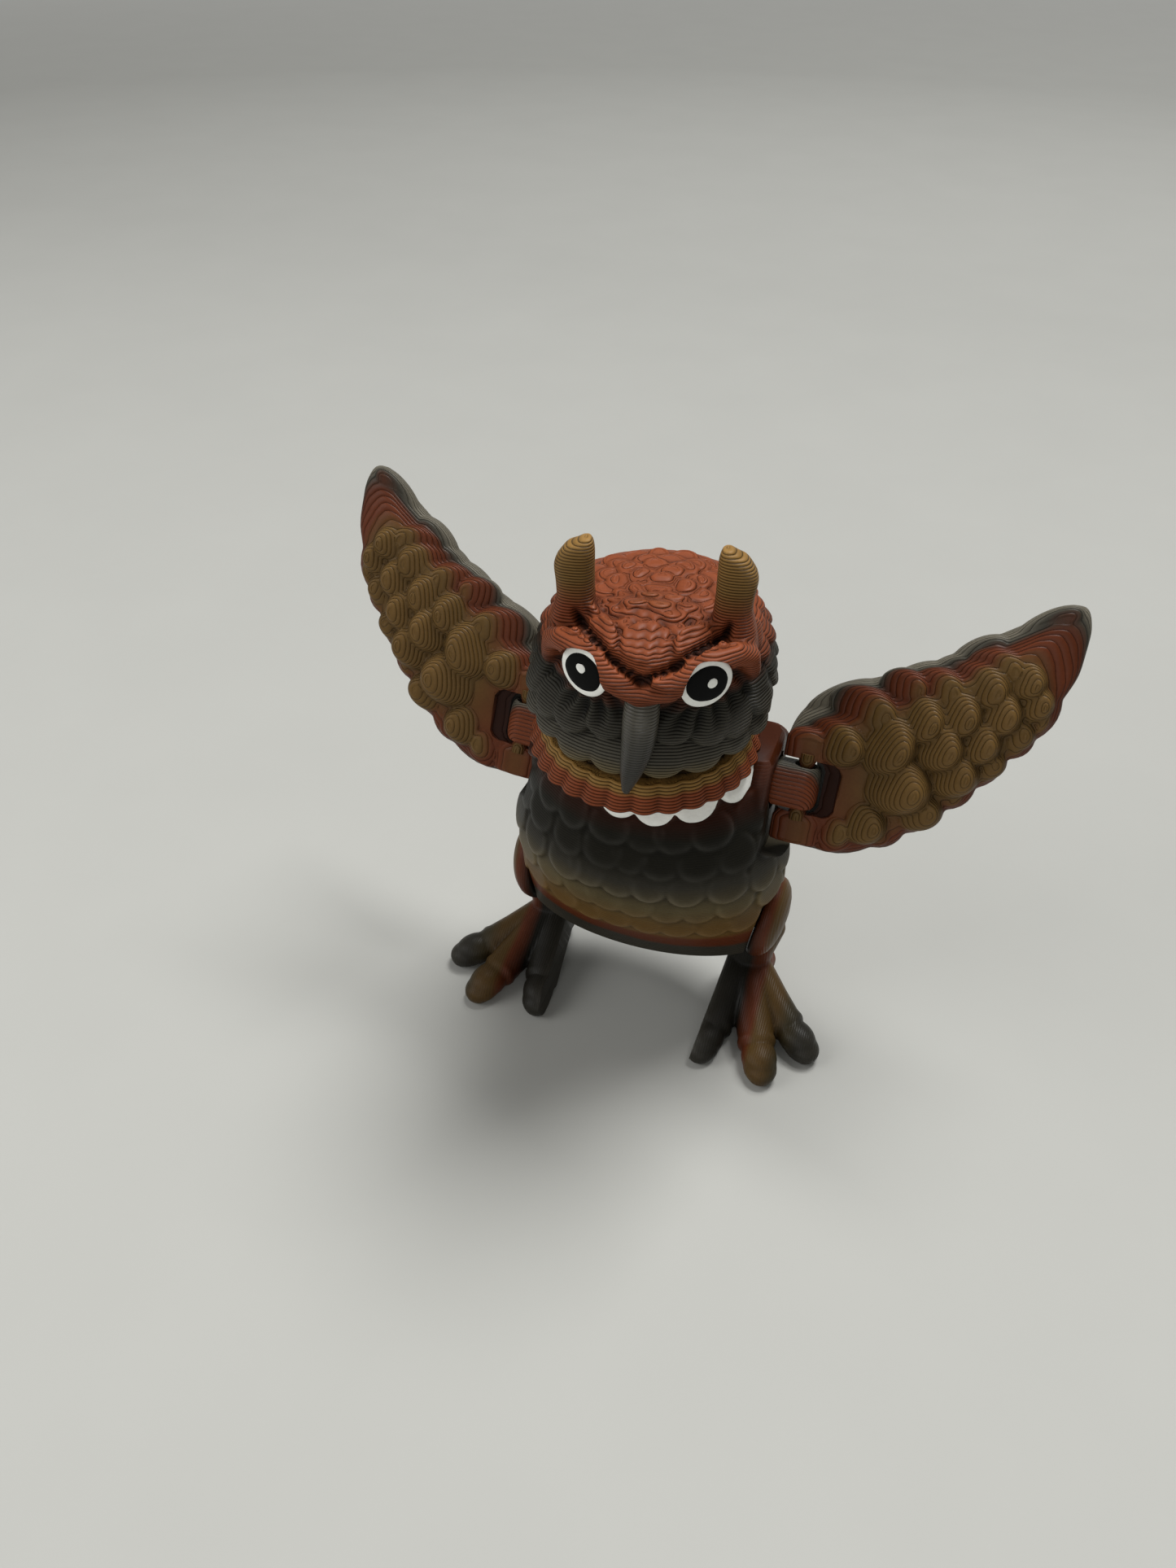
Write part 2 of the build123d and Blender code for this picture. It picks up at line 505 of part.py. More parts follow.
# ---------------------------------------------------------------- legs
with BuildPart() as leg_left:
    # haunch, a domed round of revolution about the hip axis
    haunch_side = Plane(HIP_FRAME.origin, x_dir=HIP_FRAME.x_dir, z_dir=-HIP_FRAME.y_dir)
    with BuildSketch(haunch_side):
        with BuildLine():
            Polyline((0, HAUNCH_DEPTH), (0, GAP), (HAUNCH_RADIUS - 0.5, GAP))
            ThreePointArc((HAUNCH_RADIUS - 0.5, GAP), (HAUNCH_RADIUS, 0.3 * HAUNCH_DEPTH),
                          (0.9 * HAUNCH_RADIUS, 0.6 * HAUNCH_DEPTH))
            ThreePointArc((0.9 * HAUNCH_RADIUS, 0.6 * HAUNCH_DEPTH),
                          (0.6 * HAUNCH_RADIUS, 0.88 * HAUNCH_DEPTH), (0, HAUNCH_DEPTH))
        make_face()
    revolve(axis=Axis(HIP_FRAME.origin, HIP_FRAME.z_dir))
    # shank from the haunch to the ankle, then the toes along the floor
    ankle = (MID_X + ANKLE_X, MID_Y + ANKLE_Y, ANKLE_Z)
    shank_top = HIP_FRAME.from_local_coords(Vector(1.2, -0.5 * HAUNCH_RADIUS, 0.5 * HAUNCH_DEPTH))
    bar(shank_top, ankle, 0.45 * HAUNCH_DEPTH, ANKLE_RADIUS)
    with Locations(ankle):
        Sphere(ANKLE_RADIUS)
    for tip_x, tip_y in TOE_TIPS:
        tip = Vector(MID_X + tip_x, MID_Y + tip_y, CLAW_TIP_RADIUS - 0.5 * SOLE_FLAT)
        along = Vector(tip_x - ANKLE_X, tip_y - ANKLE_Y, 0)
        knuckle = tip - along.normalized() * (CLAW_LENGTH - CLAW_TIP_RADIUS)
        knuckle = Vector(knuckle.X, knuckle.Y, TOE_KNUCKLE_RADIUS - SOLE_FLAT)
        bar(ankle, knuckle, TOE_ROOT_RADIUS, TOE_KNUCKLE_RADIUS)
        bar(knuckle, tip, CLAW_ROOT_RADIUS, CLAW_TIP_RADIUS)
        with Locations(tip):
            Sphere(CLAW_TIP_RADIUS)
    # flat inner face of the foot, and its flat sole
    split(bisect_by=HIP_FRAME.offset(-FOOT_INNER), keep=Keep.TOP)
    split(bisect_by=Plane.XY, keep=Keep.TOP)
    # the foot stays below the torso's underside when the leg swings
    with BuildSketch(HIP_FRAME.offset(GAP)):
        Circle(HAUNCH_RADIUS + 4 * GAP)
    extrude(amount=-FOOT_INNER - 2 * GAP, mode=Mode.SUBTRACT)
    # snap peg
    with BuildSketch(HIP_FRAME.offset(GAP)):
        Circle(PEG_RADIUS)
    extrude(amount=-PEG_LENGTH)
    with BuildSketch(HIP_FRAME.offset(GAP - PEG_LENGTH)):
        Circle(PEG_BULB_RADIUS)
    extrude(amount=-PEG_BULB_LENGTH)
leg_left.part.label = "leg_left"
export_step(leg_left.part, "parts/leg_left.step")

with BuildPart() as leg_right:
    mirror(leg_left.part, about=MIDDLE)
leg_right.part.label = "leg_right"
export_step(leg_right.part, "parts/leg_right.step")
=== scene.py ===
"""Looks for the articulated owl toy: printed plastic skins, brushed paint and a plain stage.

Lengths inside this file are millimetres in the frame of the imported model, with +Z up and the
owl looking along -Y. Each finished mesh is turned into metres when it is handed to its body.
"""
import json
import math
import random

import bmesh
import bpy
import numpy as np
from mathutils import Matrix, Vector
from mathutils.bvhtree import BVHTree


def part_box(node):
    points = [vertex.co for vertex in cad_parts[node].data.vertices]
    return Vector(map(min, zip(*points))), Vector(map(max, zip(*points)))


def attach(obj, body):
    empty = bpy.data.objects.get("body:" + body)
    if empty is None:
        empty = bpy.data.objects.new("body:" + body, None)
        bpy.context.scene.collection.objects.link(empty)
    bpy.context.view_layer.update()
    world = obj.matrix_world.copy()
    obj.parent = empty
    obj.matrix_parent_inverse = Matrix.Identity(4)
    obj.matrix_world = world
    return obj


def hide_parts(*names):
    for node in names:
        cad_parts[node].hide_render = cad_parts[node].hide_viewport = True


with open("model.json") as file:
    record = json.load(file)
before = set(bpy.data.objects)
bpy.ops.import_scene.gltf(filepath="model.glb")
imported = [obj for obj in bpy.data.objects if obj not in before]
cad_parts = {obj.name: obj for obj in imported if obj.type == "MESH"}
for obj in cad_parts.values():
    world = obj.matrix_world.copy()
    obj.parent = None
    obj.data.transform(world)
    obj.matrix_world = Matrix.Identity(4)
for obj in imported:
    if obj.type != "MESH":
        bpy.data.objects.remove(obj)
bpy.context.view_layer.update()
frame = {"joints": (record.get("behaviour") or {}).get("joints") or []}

bl_info = {
    "name": "Printed Owl Toy",
    "version": (1, 0, 0),
    "blender": (4, 5, 0),
    "location": "3D View > Sidebar > Owl Toy",
    "description": "Builds the skins, paint and stage of an articulated owl printed in silk filament",
    "category": "Add Mesh",
}

MM = 0.001
JOINTS = {joint["name"]: joint for joint in frame["joints"]}
SIDES = {"left": 1, "right": -1}
UP = Vector((0, 0, 1))
OUTSIDE = 60                 # a place this far out is outside every piece


# ---------------------------------------------------------------- frames taken from the joints
def joint_point(name):
    """A joint's place, in millimetres."""
    return Vector(JOINTS[name]["pos_m"]) / MM


def basis(origin, x_axis, y_axis, z_axis):
    """Matrix whose columns are the three axes, placed at origin."""
    matrix = Matrix((x_axis, y_axis, z_axis)).transposed().to_4x4()
    matrix.translation = origin
    return matrix


def bottom(node):
    """Height of a CAD node's lowest point, in millimetres."""
    return (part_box(node)[0] / MM).z


def circle(count):
    """Angles round a circle."""
    return [2 * math.pi * i / count for i in range(count)]


NECK = joint_point("head_turn")
HEAD_TURN = math.radians(11.0)
HEAD_BOTTOM = bottom("head")
TORSO_BOTTOM = bottom("torso")
HEAD_FRAME = Matrix.Translation((NECK.x, NECK.y, HEAD_BOTTOM)) @ Matrix.Rotation(HEAD_TURN, 4, "Z")
HEAD_AXES = HEAD_FRAME.to_3x3()

WING_UP = Vector(JOINTS["wing_fold_left"]["axis"]).normalized()
WING_OUT = Vector((1, 0, 0))
WING_FACE = WING_OUT.cross(WING_UP)


def wing_frame(name):
    """Across, along and out of the face of a wing, at its fold axis."""
    up = Vector(JOINTS[f"wing_fold_{name}"]["axis"]).normalized()
    up = up if up.z > 0 else -up
    return basis(joint_point(f"wing_fold_{name}"), SIDES[name] * up.cross(WING_FACE), up, WING_FACE)


def socket_frame(name):
    """Frame of a shoulder socket: Z points out of the torso along the swivel axis."""
    axis = Vector(JOINTS[f"shoulder_swivel_{name}"]["axis"]).normalized() * SIDES[name]
    across = WING_FACE.cross(axis).normalized()
    return basis(joint_point(f"shoulder_swivel_{name}"), across, axis.cross(across), axis)


def hip_frame(name):
    """Frame of a hip peg: Z points out of the torso, square to the side facet."""
    axis = Vector(JOINTS[f"hip_swing_{name}"]["axis"]).normalized() * SIDES[name]
    across = Vector((0, 1, 0))
    return basis(joint_point(f"hip_swing_{name}"), across, axis.cross(across), axis)


# ---------------------------------------------------------------- what a user would change
def length(name, description, default, least, most):
    """A length that a user may change, in metres."""
    return bpy.props.FloatProperty(name=name, description=description, default=default,
                                   min=least, max=most, precision=5, unit="LENGTH")


def colour(name, description, default):
    """A colour that a user may change."""
    return bpy.props.FloatVectorProperty(name=name, description=description, default=default,
                                         subtype="COLOR", size=3, min=0, max=1)


class OwlSizes(bpy.types.PropertyGroup):
    """Sizes of the relief on the printed pieces, in metres."""

    layer_height: length("Layer Height", "Height of one printed layer", 0.00038, 0.0001, 0.001)
    wing_layer: length("Wing Layer Height", "Height of one layer of the wings, printed finer",
                       0.00026, 0.0001, 0.001)
    skin_detail: length("Skin Detail", "Grid size to which each printed skin is fused",
                        0.00029, 0.0002, 0.001)
    breast_width: length("Breast Feather Width", "Width of one feather on the torso",
                         0.0066, 0.003, 0.012)
    breast_lift: length("Breast Feather Lift", "How far a torso feather stands proud",
                        0.00075, 0.0001, 0.002)
    nape_width: length("Nape Feather Width", "Width of one feather round the head",
                       0.0050, 0.002, 0.008)
    nape_lift: length("Nape Feather Lift", "How far a head feather stands proud",
                      0.0018, 0.0001, 0.002)
    collar_lobes: bpy.props.IntProperty(
        name="Collar Lobes", description="Number of lobes round the collar", default=30, min=12, max=60)
    seed: bpy.props.IntProperty(
        name="Seed", description="Seed of the small irregularities", default=7, min=0)


class OwlColours(bpy.types.PropertyGroup):
    """Colours of the filament and of the paint."""

    russet: colour("Russet", "Red-brown filament", (0.235, 0.057, 0.019))
    ochre: colour("Ochre", "Gold-brown filament", (0.200, 0.110, 0.030))
    olive: colour("Olive", "Filament between gold and grey", (0.085, 0.065, 0.030))
    slate: colour("Slate", "Grey filament", (0.080, 0.072, 0.054))
    soot: colour("Soot", "Darkest filament", (0.010, 0.009, 0.006))
    paint_white: colour("White Paint", "Paint of the eyes and the breast", (0.94, 0.94, 0.88))
    paint_black: colour("Black Paint", "Paint of the pupils", (0.003, 0.003, 0.003))


# ---------------------------------------------------------------- clay: rough closed shells
class Clay:
    """Closed shells in millimetres that overlap freely and are fused into one skin later.
    Every method that adds a shell returns the clay, so that calls can follow each other."""

    def __init__(self):
        self.points = []
        self.faces = []

    def rings(self, rings):
        """A closed shell from rings of equal count, each end closed with one face, facing outward."""
        start = len(self.points)
        count = len(rings[0])
        faces = []
        for ring in rings:
            self.points.extend(Vector(p) for p in ring)
        for row in range(len(rings) - 1):
            low = start + row * count
            high = low + count
            for i in range(count):
                j = (i + 1) % count
                faces.append((low + i, low + j, high + j, high + i))
        faces.append(tuple(range(start, start + count))[::-1])
        last = start + (len(rings) - 1) * count
        faces.append(tuple(range(last, last + count)))
        volume = 0.0
        for face in faces:
            first = self.points[face[0]]
            for a, b in zip(face[1:], face[2:]):
                volume += first.dot(self.points[a].cross(self.points[b]))
        if volume < 0:
            faces = [face[::-1] for face in faces]
        self.faces.extend(faces)
        return self

    def revolve(self, matrix, profile, segments=48):
        """A round shell about the frame's Z, from (radius, height) pairs."""
        rings = []
        for radius, height in profile:
            radius = max(radius, 1e-4)
            rings.append([matrix @ Vector((radius * math.cos(a), radius * math.sin(a), height))
                          for a in circle(segments)])
        return self.rings(rings)

    def ball(self, centre, radii, turn=None, segments=24):
        """An ellipsoid."""
        matrix = (Matrix.Translation(centre) @ (turn or Matrix.Identity(4))
                  @ Matrix.Diagonal((*radii, 1)))
        steps = [math.pi * i / (segments // 2) for i in range(segments // 2 + 1)]
        return self.revolve(matrix, [(math.sin(a), -math.cos(a)) for a in steps], segments)

    def limb(self, path, radii):
        """A round limb from point to point, with a ball at every joint."""
        segments = 20
        for start, end, first, second in zip(path, path[1:], radii, radii[1:]):
            start, end = Vector(start), Vector(end)
            turn = (end - start).to_track_quat("Z", "Y").to_matrix().to_4x4()
            self.ball(start, (first,) * 3, segments=segments)
            self.ball(end, (second,) * 3, segments=segments)
            self.revolve(Matrix.Translation(start) @ turn, [(first, 0), (second, (end - start).length)],
                         segments)
        return self

    def make(self, name):
        """The shells as one mesh object."""
        mesh = bpy.data.meshes.new(name)
        mesh.from_pydata([tuple(p) for p in self.points], [], self.faces)
        return link(name, mesh)


def link(name, mesh):
    """A new object in the scene for this mesh."""
    obj = bpy.data.objects.new(name, mesh)
    bpy.context.scene.collection.objects.link(obj)
    return obj


def discard(*objects):
    """Removes helper objects and their meshes."""
    for obj in objects:
        mesh = obj.data
        bpy.data.objects.remove(obj)
        bpy.data.meshes.remove(mesh)


def apply_modifiers(obj):
    """Replaces an object's mesh with its evaluated one and drops the modifiers."""
    bpy.context.view_layer.update()
    graph = bpy.context.evaluated_depsgraph_get()
    mesh = bpy.data.meshes.new_from_object(obj.evaluated_get(graph))
    old = obj.data
    obj.modifiers.clear()
    obj.data = mesh
    bpy.data.meshes.remove(old)
    return obj


def fuse(name, parts, voxel, rounds=2):
    """Overlapping closed shells become one skin, lightly smoothed."""
    joined = bmesh.new()
    for part in parts:
        joined.from_mesh(part.data)
    mesh = bpy.data.meshes.new(name)
    joined.to_mesh(mesh)
    joined.free()
    discard(*parts)
    obj = link(name, mesh)
    remesh = obj.modifiers.new("Fuse", "REMESH")
    remesh.mode = "VOXEL"
    remesh.voxel_size = voxel
    remesh.use_smooth_shade = True
    if rounds:
        smooth = obj.modifiers.new("Smooth", "SMOOTH")
        smooth.factor = 0.5
        smooth.iterations = rounds
    return apply_modifiers(obj)


def boolean(obj, cutters, operation="DIFFERENCE"):
    """Cuts closed shells out of a skin, or adds them to it."""
    for cutter in cutters:
        tool = obj.modifiers.new("Cut", "BOOLEAN")
        tool.operation = operation
        tool.object = cutter
        tool.solver = "MANIFOLD"
    apply_modifiers(obj)
    discard(*cutters)
    return obj


def slice_off(obj, point, outward):
    """Removes what stands beyond a plane and closes the skin with a flat face."""
    cut = bmesh.new()
    cut.from_mesh(obj.data)
    geometry = cut.verts[:] + cut.edges[:] + cut.faces[:]
    bmesh.ops.bisect_plane(cut, geom=geometry, plane_co=point, plane_no=outward, clear_outer=True,
                           dist=1e-4)
    rim = [edge for edge in cut.edges if edge.is_boundary]
    filled = bmesh.ops.holes_fill(cut, edges=rim, sides=0)["faces"]
    bmesh.ops.triangulate(cut, faces=filled)
    cut.to_mesh(obj.data)
    cut.free()
    return obj


# ---------------------------------------------------------------- node trees
class Signal:
    """One output of a node. Arithmetic on it adds Math nodes to its tree."""

    def __init__(self, node, output=0):
        self.tree = node.id_data
        self.socket = node.outputs[output]

    def math(self, operation, *others, clamp=False):
        """What a Math node makes of this signal and the others."""
        inputs = dict(enumerate((self, *others)))
        return Signal(add_node(self.tree, "ShaderNodeMath", inputs, operation=operation, use_clamp=clamp))

    def __add__(self, other):
        return self.math("ADD", other)

    def __sub__(self, other):
        return self.math("SUBTRACT", other)

    def __rsub__(self, other):
        return self.math("MULTIPLY_ADD", -1.0, other)

    def __mul__(self, other):
        return self.math("MULTIPLY", other)

    def __truediv__(self, other):
        return self.math("DIVIDE", other)


def feed(node, inputs):
    """Sets a node's inputs, by name or number, to plain values or to the signals of other nodes."""
    for key, value in inputs.items():
        if isinstance(value, Signal):
            value.tree.links.new(value.socket, node.inputs[key])
        else:
            node.inputs[key].default_value = value
    return node


def add_node(tree, kind, inputs=None, **settings):
    """A new node, with its settings made before its inputs are fed."""
    node = tree.nodes.new(kind)
    for key, value in settings.items():
        setattr(node, key, value)
    return feed(node, inputs or {})


def new_group(name, kind, inputs, outputs):
    """An empty node group: its tree, its inputs as signals by name, and its exit node."""
    tree = bpy.data.node_groups.new(name, kind)
    for label, socket, default, *subtype in inputs:
        made = tree.interface.new_socket(label, in_out="INPUT", socket_type=f"NodeSocket{socket}")
        if subtype:
            made.subtype = subtype[0]
        if default is not None:
            made.default_value = default
    for label, socket in outputs:
        tree.interface.new_socket(label, in_out="OUTPUT", socket_type=f"NodeSocket{socket}")
    entry = tree.nodes.new("NodeGroupInput")
    return tree, {row[0]: Signal(entry, row[0]) for row in inputs}, tree.nodes.new("NodeGroupOutput")


# ---------------------------------------------------------------- feathers grown by geometry nodes
def feather_pattern(name, dome, narrow, root):
    """One unit feather of a few dozen faces: root at the origin, tip at y = -1, crest at z = 1.
    dome gives (share of the outline, share of the height) from the middle to the rim, narrow the
    share of the width at the root, and root the share of the height there."""
    segments = 14
    points, faces = [], []
    for share, height in dome:
        for a in circle(segments):
            along = 0.5 - 0.5 * share * math.cos(a)
            across = 0.5 * share * math.sin(a) * (narrow + (1 - narrow) * min(1, 1.35 * along))
            rise = height * (root + (1 - root) * along) if height > 0 else height
            points.append((across, -along, rise))
    rows = len(dome)
    for row in range(rows - 1):
        for i in range(segments):
            j = (i + 1) % segments
            low, high = row * segments, (row + 1) * segments
            faces.append((low + i, low + j, high + j, high + i))
    faces.append(tuple(range(segments))[::-1])
    faces.append(tuple(range((rows - 1) * segments, rows * segments)))
    mesh = bpy.data.meshes.new(name)
    mesh.from_pydata(points, [], faces)
    obj = link(name, mesh)
    obj.hide_render = True
    return obj


# domes of a flat-topped, a rounded and a full feather
SHINGLE = ((0.35, 1.0), (0.72, 0.97), (0.92, 0.8), (1.0, 0.35), (1.0, -1.0), (0.5, -1.2))
SHIELD = ((0.3, 1.0), (0.55, 0.96), (0.74, 0.87), (0.88, 0.7), (0.96, 0.45), (1.0, 0.1),
          (1.0, -0.8), (0.5, -1.0))
PILLOW = ((0.2, 0.99), (0.45, 0.90), (0.66, 0.76), (0.84, 0.56), (0.95, 0.32), (1.0, 0.0),
          (1.0, -0.8), (0.5, -1.0))


def feather_rows_tree():
    """Geometry nodes that set one feather on every guide point.
    The guide points carry the attributes aim, a turn in XYZ angles, and size, a scale."""
    tree = bpy.data.node_groups.get("Feather Rows")
    if tree:
        return tree
    tree, given, leave = new_group(
        "Feather Rows", "GeometryNodeTree",
        [("Geometry", "Geometry", None), ("Feather", "Object", None), ("Spread", "Float", 1.0),
         ("Lift", "Float", 1.0), ("Sway", "Float", None, "ANGLE"), ("Smoothness", "Int", 2),
         ("Seed", "Int", None), ("Material", "Material", None)],
        [("Geometry", "Geometry")])

    def then(kind, inputs, output=0, **settings):
        return Signal(add_node(tree, kind, inputs, **settings), output)

    aim, size = (then("GeometryNodeInputNamedAttribute", {"Name": key}, "Attribute",
                      data_type="FLOAT_VECTOR") for key in ("aim", "size"))
    lowest, highest, number = 2, 3, 1
    chance = then("FunctionNodeRandomValue", {lowest: -1.0, highest: 1.0, "Seed": given["Seed"]}, number,
                  data_type="FLOAT")
    spin = then("FunctionNodeAxisAngleToRotation", {"Axis": (0, 0, 1), "Angle": chance * given["Sway"]})
    turn = then("FunctionNodeEulerToRotation", {"Euler": aim})
    turn = then("FunctionNodeRotateRotation", {"Rotation": turn, "Rotate By": spin}, rotation_space="LOCAL")
    scale = then("ShaderNodeCombineXYZ", {"X": given["Spread"], "Y": given["Spread"], "Z": given["Lift"]})
    scale = then("ShaderNodeVectorMath", {0: size, 1: scale}, operation="MULTIPLY")
    feather = then("GeometryNodeObjectInfo", {"Object": given["Feather"]}, "Geometry")
    rows = then("GeometryNodeInstanceOnPoints",
                {"Points": given["Geometry"], "Instance": feather, "Rotation": turn, "Scale": scale})
    rows = then("GeometryNodeRealizeInstances", {"Geometry": rows})
    rows = then("GeometryNodeSubdivisionSurface", {"Mesh": rows, "Level": given["Smoothness"]})
    rows = then("GeometryNodeSetMaterial", {"Geometry": rows, "Material": given["Material"]})
    feed(leave, {"Geometry": rows})
    return tree


def grow_feathers(name, guides, dome, material, narrow, root=0.2, sway=0.0):
    """Feathers on guides, each (root point, outward normal, tip direction, width, length, rise)."""
    points, aims, sizes = [], [], []
    for start, normal, tip, width, length, rise in guides:
        normal = Vector(normal).normalized()
        back = -Vector(tip)
        back = (back - normal * back.dot(normal)).normalized()
        side = back.cross(normal)
        aims.append(Matrix((side, back, normal)).transposed().to_euler("XYZ"))
        points.append(tuple(start))
        sizes.append((width, length, rise))
    mesh = bpy.data.meshes.new(name)
    mesh.from_pydata(points, [], [])
    for key, values in (("aim", aims), ("size", sizes)):
        attribute = mesh.attributes.new(key, "FLOAT_VECTOR", "POINT")
        attribute.data.foreach_set("vector", np.array([tuple(v) for v in values], np.float32).ravel())
    obj = link(name, mesh)
    pattern = feather_pattern(name + "_pattern", dome, narrow, root)
    tree = feather_rows_tree()
    rows = obj.modifiers.new("Feather Rows", "NODES")
    rows.node_group = tree
    settings = {"Feather": pattern, "Spread": 1.0, "Lift": 1.0, "Sway": sway, "Smoothness": 2,
                "Seed": bpy.context.scene.owl_sizes.seed, "Material": material}
    for item in tree.interface.items_tree:
        if item.in_out == "INPUT" and item.name in settings:
            rows[item.identifier] = settings[item.name]
    apply_modifiers(obj)
    discard(pattern)
    return obj


# ---------------------------------------------------------------- sculpting by code
def read_points(mesh):
    """Vertex places and normals as arrays."""
    count = len(mesh.vertices)
    places = np.zeros(count * 3)
    mesh.vertices.foreach_get("co", places)
    normals = np.zeros(count * 3)
    mesh.vertex_normals.foreach_get("vector", normals)
    return places.reshape(-1, 3), normals.reshape(-1, 3)


def write_points(mesh, places):
    """Puts moved vertex places back."""
    mesh.vertices.foreach_set("co", places.ravel())
    mesh.update()


def smoothstep(low, high, values):
    """0 below low, 1 above high, and a smooth rise between."""
    t = np.clip((values - low) / (high - low), 0, 1)
    return t * t * (3 - 2 * t)


def stroke_mask(places, path, width, through=None):
    """Closeness of every vertex to a path, from 1 on it to 0 at width, the length along it and the
    distance from it. Depth along the direction through, if given, doesn't count."""
    if through is not None:
        through = np.array(Vector(through).normalized())
        places = places - (places @ through)[:, None] * through
        path = [Vector(point) - Vector(through) * Vector(point).dot(Vector(through)) for point in path]
    best = np.full(len(places), 1e9)
    along = np.zeros(len(places))
    run = 0.0
    for start, end in zip(path, path[1:]):
        start, end = np.array(start, float), np.array(end, float)
        step = end - start
        length = np.linalg.norm(step)
        t = np.clip((places - start) @ step / length ** 2, 0, 1)
        gap = np.linalg.norm(places - start - t[:, None] * step, axis=1)
        nearer = gap < best
        best[nearer] = gap[nearer]
        along[nearer] = run + t[nearer] * length
        run += length
    return 1 - smoothstep(0, 1, best / width), along, best


def vertex_links(mesh):
    """Both ends of every edge."""
    ends = np.zeros(len(mesh.edges) * 2, np.int64)
    mesh.edges.foreach_get("vertices", ends)
    return ends.reshape(-1, 2)


def neighbour_mean(values, ends, valence):
    """Mean of each vertex's neighbours."""
    total = np.zeros_like(values)
    for axis in range(values.shape[1]):
        total[:, axis] = (np.bincount(ends[:, 0], values[ends[:, 1], axis], len(values))
                          + np.bincount(ends[:, 1], values[ends[:, 0], axis], len(values)))
    return total / valence[:, None]


def mark_relief(obj, reach=6, gain=6.0, shadow=0.0):
    """Writes the attributes ridge and hollow, 0 to 1, from how far the skin stands proud of its
    own smoothed copy. The materials paint a highlight on the ridges and paint shade into the
    hollows. shadow adds painted shade to the hollows."""
    mesh = obj.data
    places, normals = read_points(mesh)
    ends = vertex_links(mesh)
    valence = np.maximum(np.bincount(ends.ravel(), minlength=len(places)), 1)
    calm = places.copy()
    for _ in range(reach):
        calm = neighbour_mean(calm, ends, valence)
    proud = ((places - calm) * normals).sum(1) * gain
    proud = neighbour_mean(proud[:, None], ends, valence)[:, 0] - shadow
    for key, values in (("ridge", np.clip(proud, 0, 1)), ("hollow", np.clip(-proud, 0, 1))):
        attribute = mesh.attributes.new(key, "FLOAT", "POINT")
        attribute.data.foreach_set("value", values.astype(np.float32))
    return obj


# ---------------------------------------------------------------- shader groups
def mix_node(factor, first, second):
    """A mix of two colours, whose factor is a signal."""
    colour_a, colour_b, colour_out = 6, 7, 2
    node = add_node(factor.tree, "ShaderNodeMix", {0: factor, colour_a: first, colour_b: second},
                    data_type="RGBA")
    return Signal(node, colour_out)


def scale_node(colour, factor):
    """A colour made lighter or darker by a signal."""
    return Signal(add_node(factor.tree, "ShaderNodeVectorMath", {0: colour, "Scale": factor},
                           operation="SCALE"))


def noise_node(vector, scale, detail=3.0, roughness=0.55):
    """The value of a Noise texture, read at a vector signal."""
    inputs = {"Vector": vector, "Scale": scale, "Detail": detail, "Roughness": roughness}
    return Signal(add_node(vector.tree, "ShaderNodeTexNoise", inputs), "Fac")


def layers_group():
    """Printed Layers: rounded beads stacked along the plate's Z, and the seams between them."""
    tree = bpy.data.node_groups.get("Printed Layers")
    if tree:
        return tree
    tree, given, leave = new_group(
        "Printed Layers", "ShaderNodeTree",
        [("Plate", "Vector", None), ("Layer Height", "Float", 0.00038), ("Waver", "Float", 0.15),
         ("Steepness", "Float", 1.0)],
        [("Bead", "Float"), ("Seam", "Float")])
    height = Signal(add_node(tree, "ShaderNodeSeparateXYZ", {0: given["Plate"]}), "Z")
    waver = (noise_node(given["Plate"], 260.0, 2.0) - 0.5) * given["Waver"]
    level = height / given["Layer Height"] + waver
    # from 1 at a seam, through 0 in the middle of a layer, to 1 at the next seam
    swing = ((level + 1000.0).math("FRACT") * 2.0 - 1.0).math("ABSOLUTE")
    bead = (1 - swing.math("POWER", 2.2)).math("MAXIMUM", 0.0).math("SQRT")
    reach = given["Steepness"].math("MAXIMUM", 0.1) * 0.62
    seam = ((1 - swing) / reach).math("MULTIPLY_ADD", -1.0, 1.0, clamp=True).math("POWER", 1.4)
    # a face that lay on the plate shows no layers
    sloping = given["Steepness"].math("MULTIPLY_ADD", 12.0, -0.8, clamp=True)
    feed(leave, {"Bead": bead * sloping, "Seam": seam * sloping})
    return tree


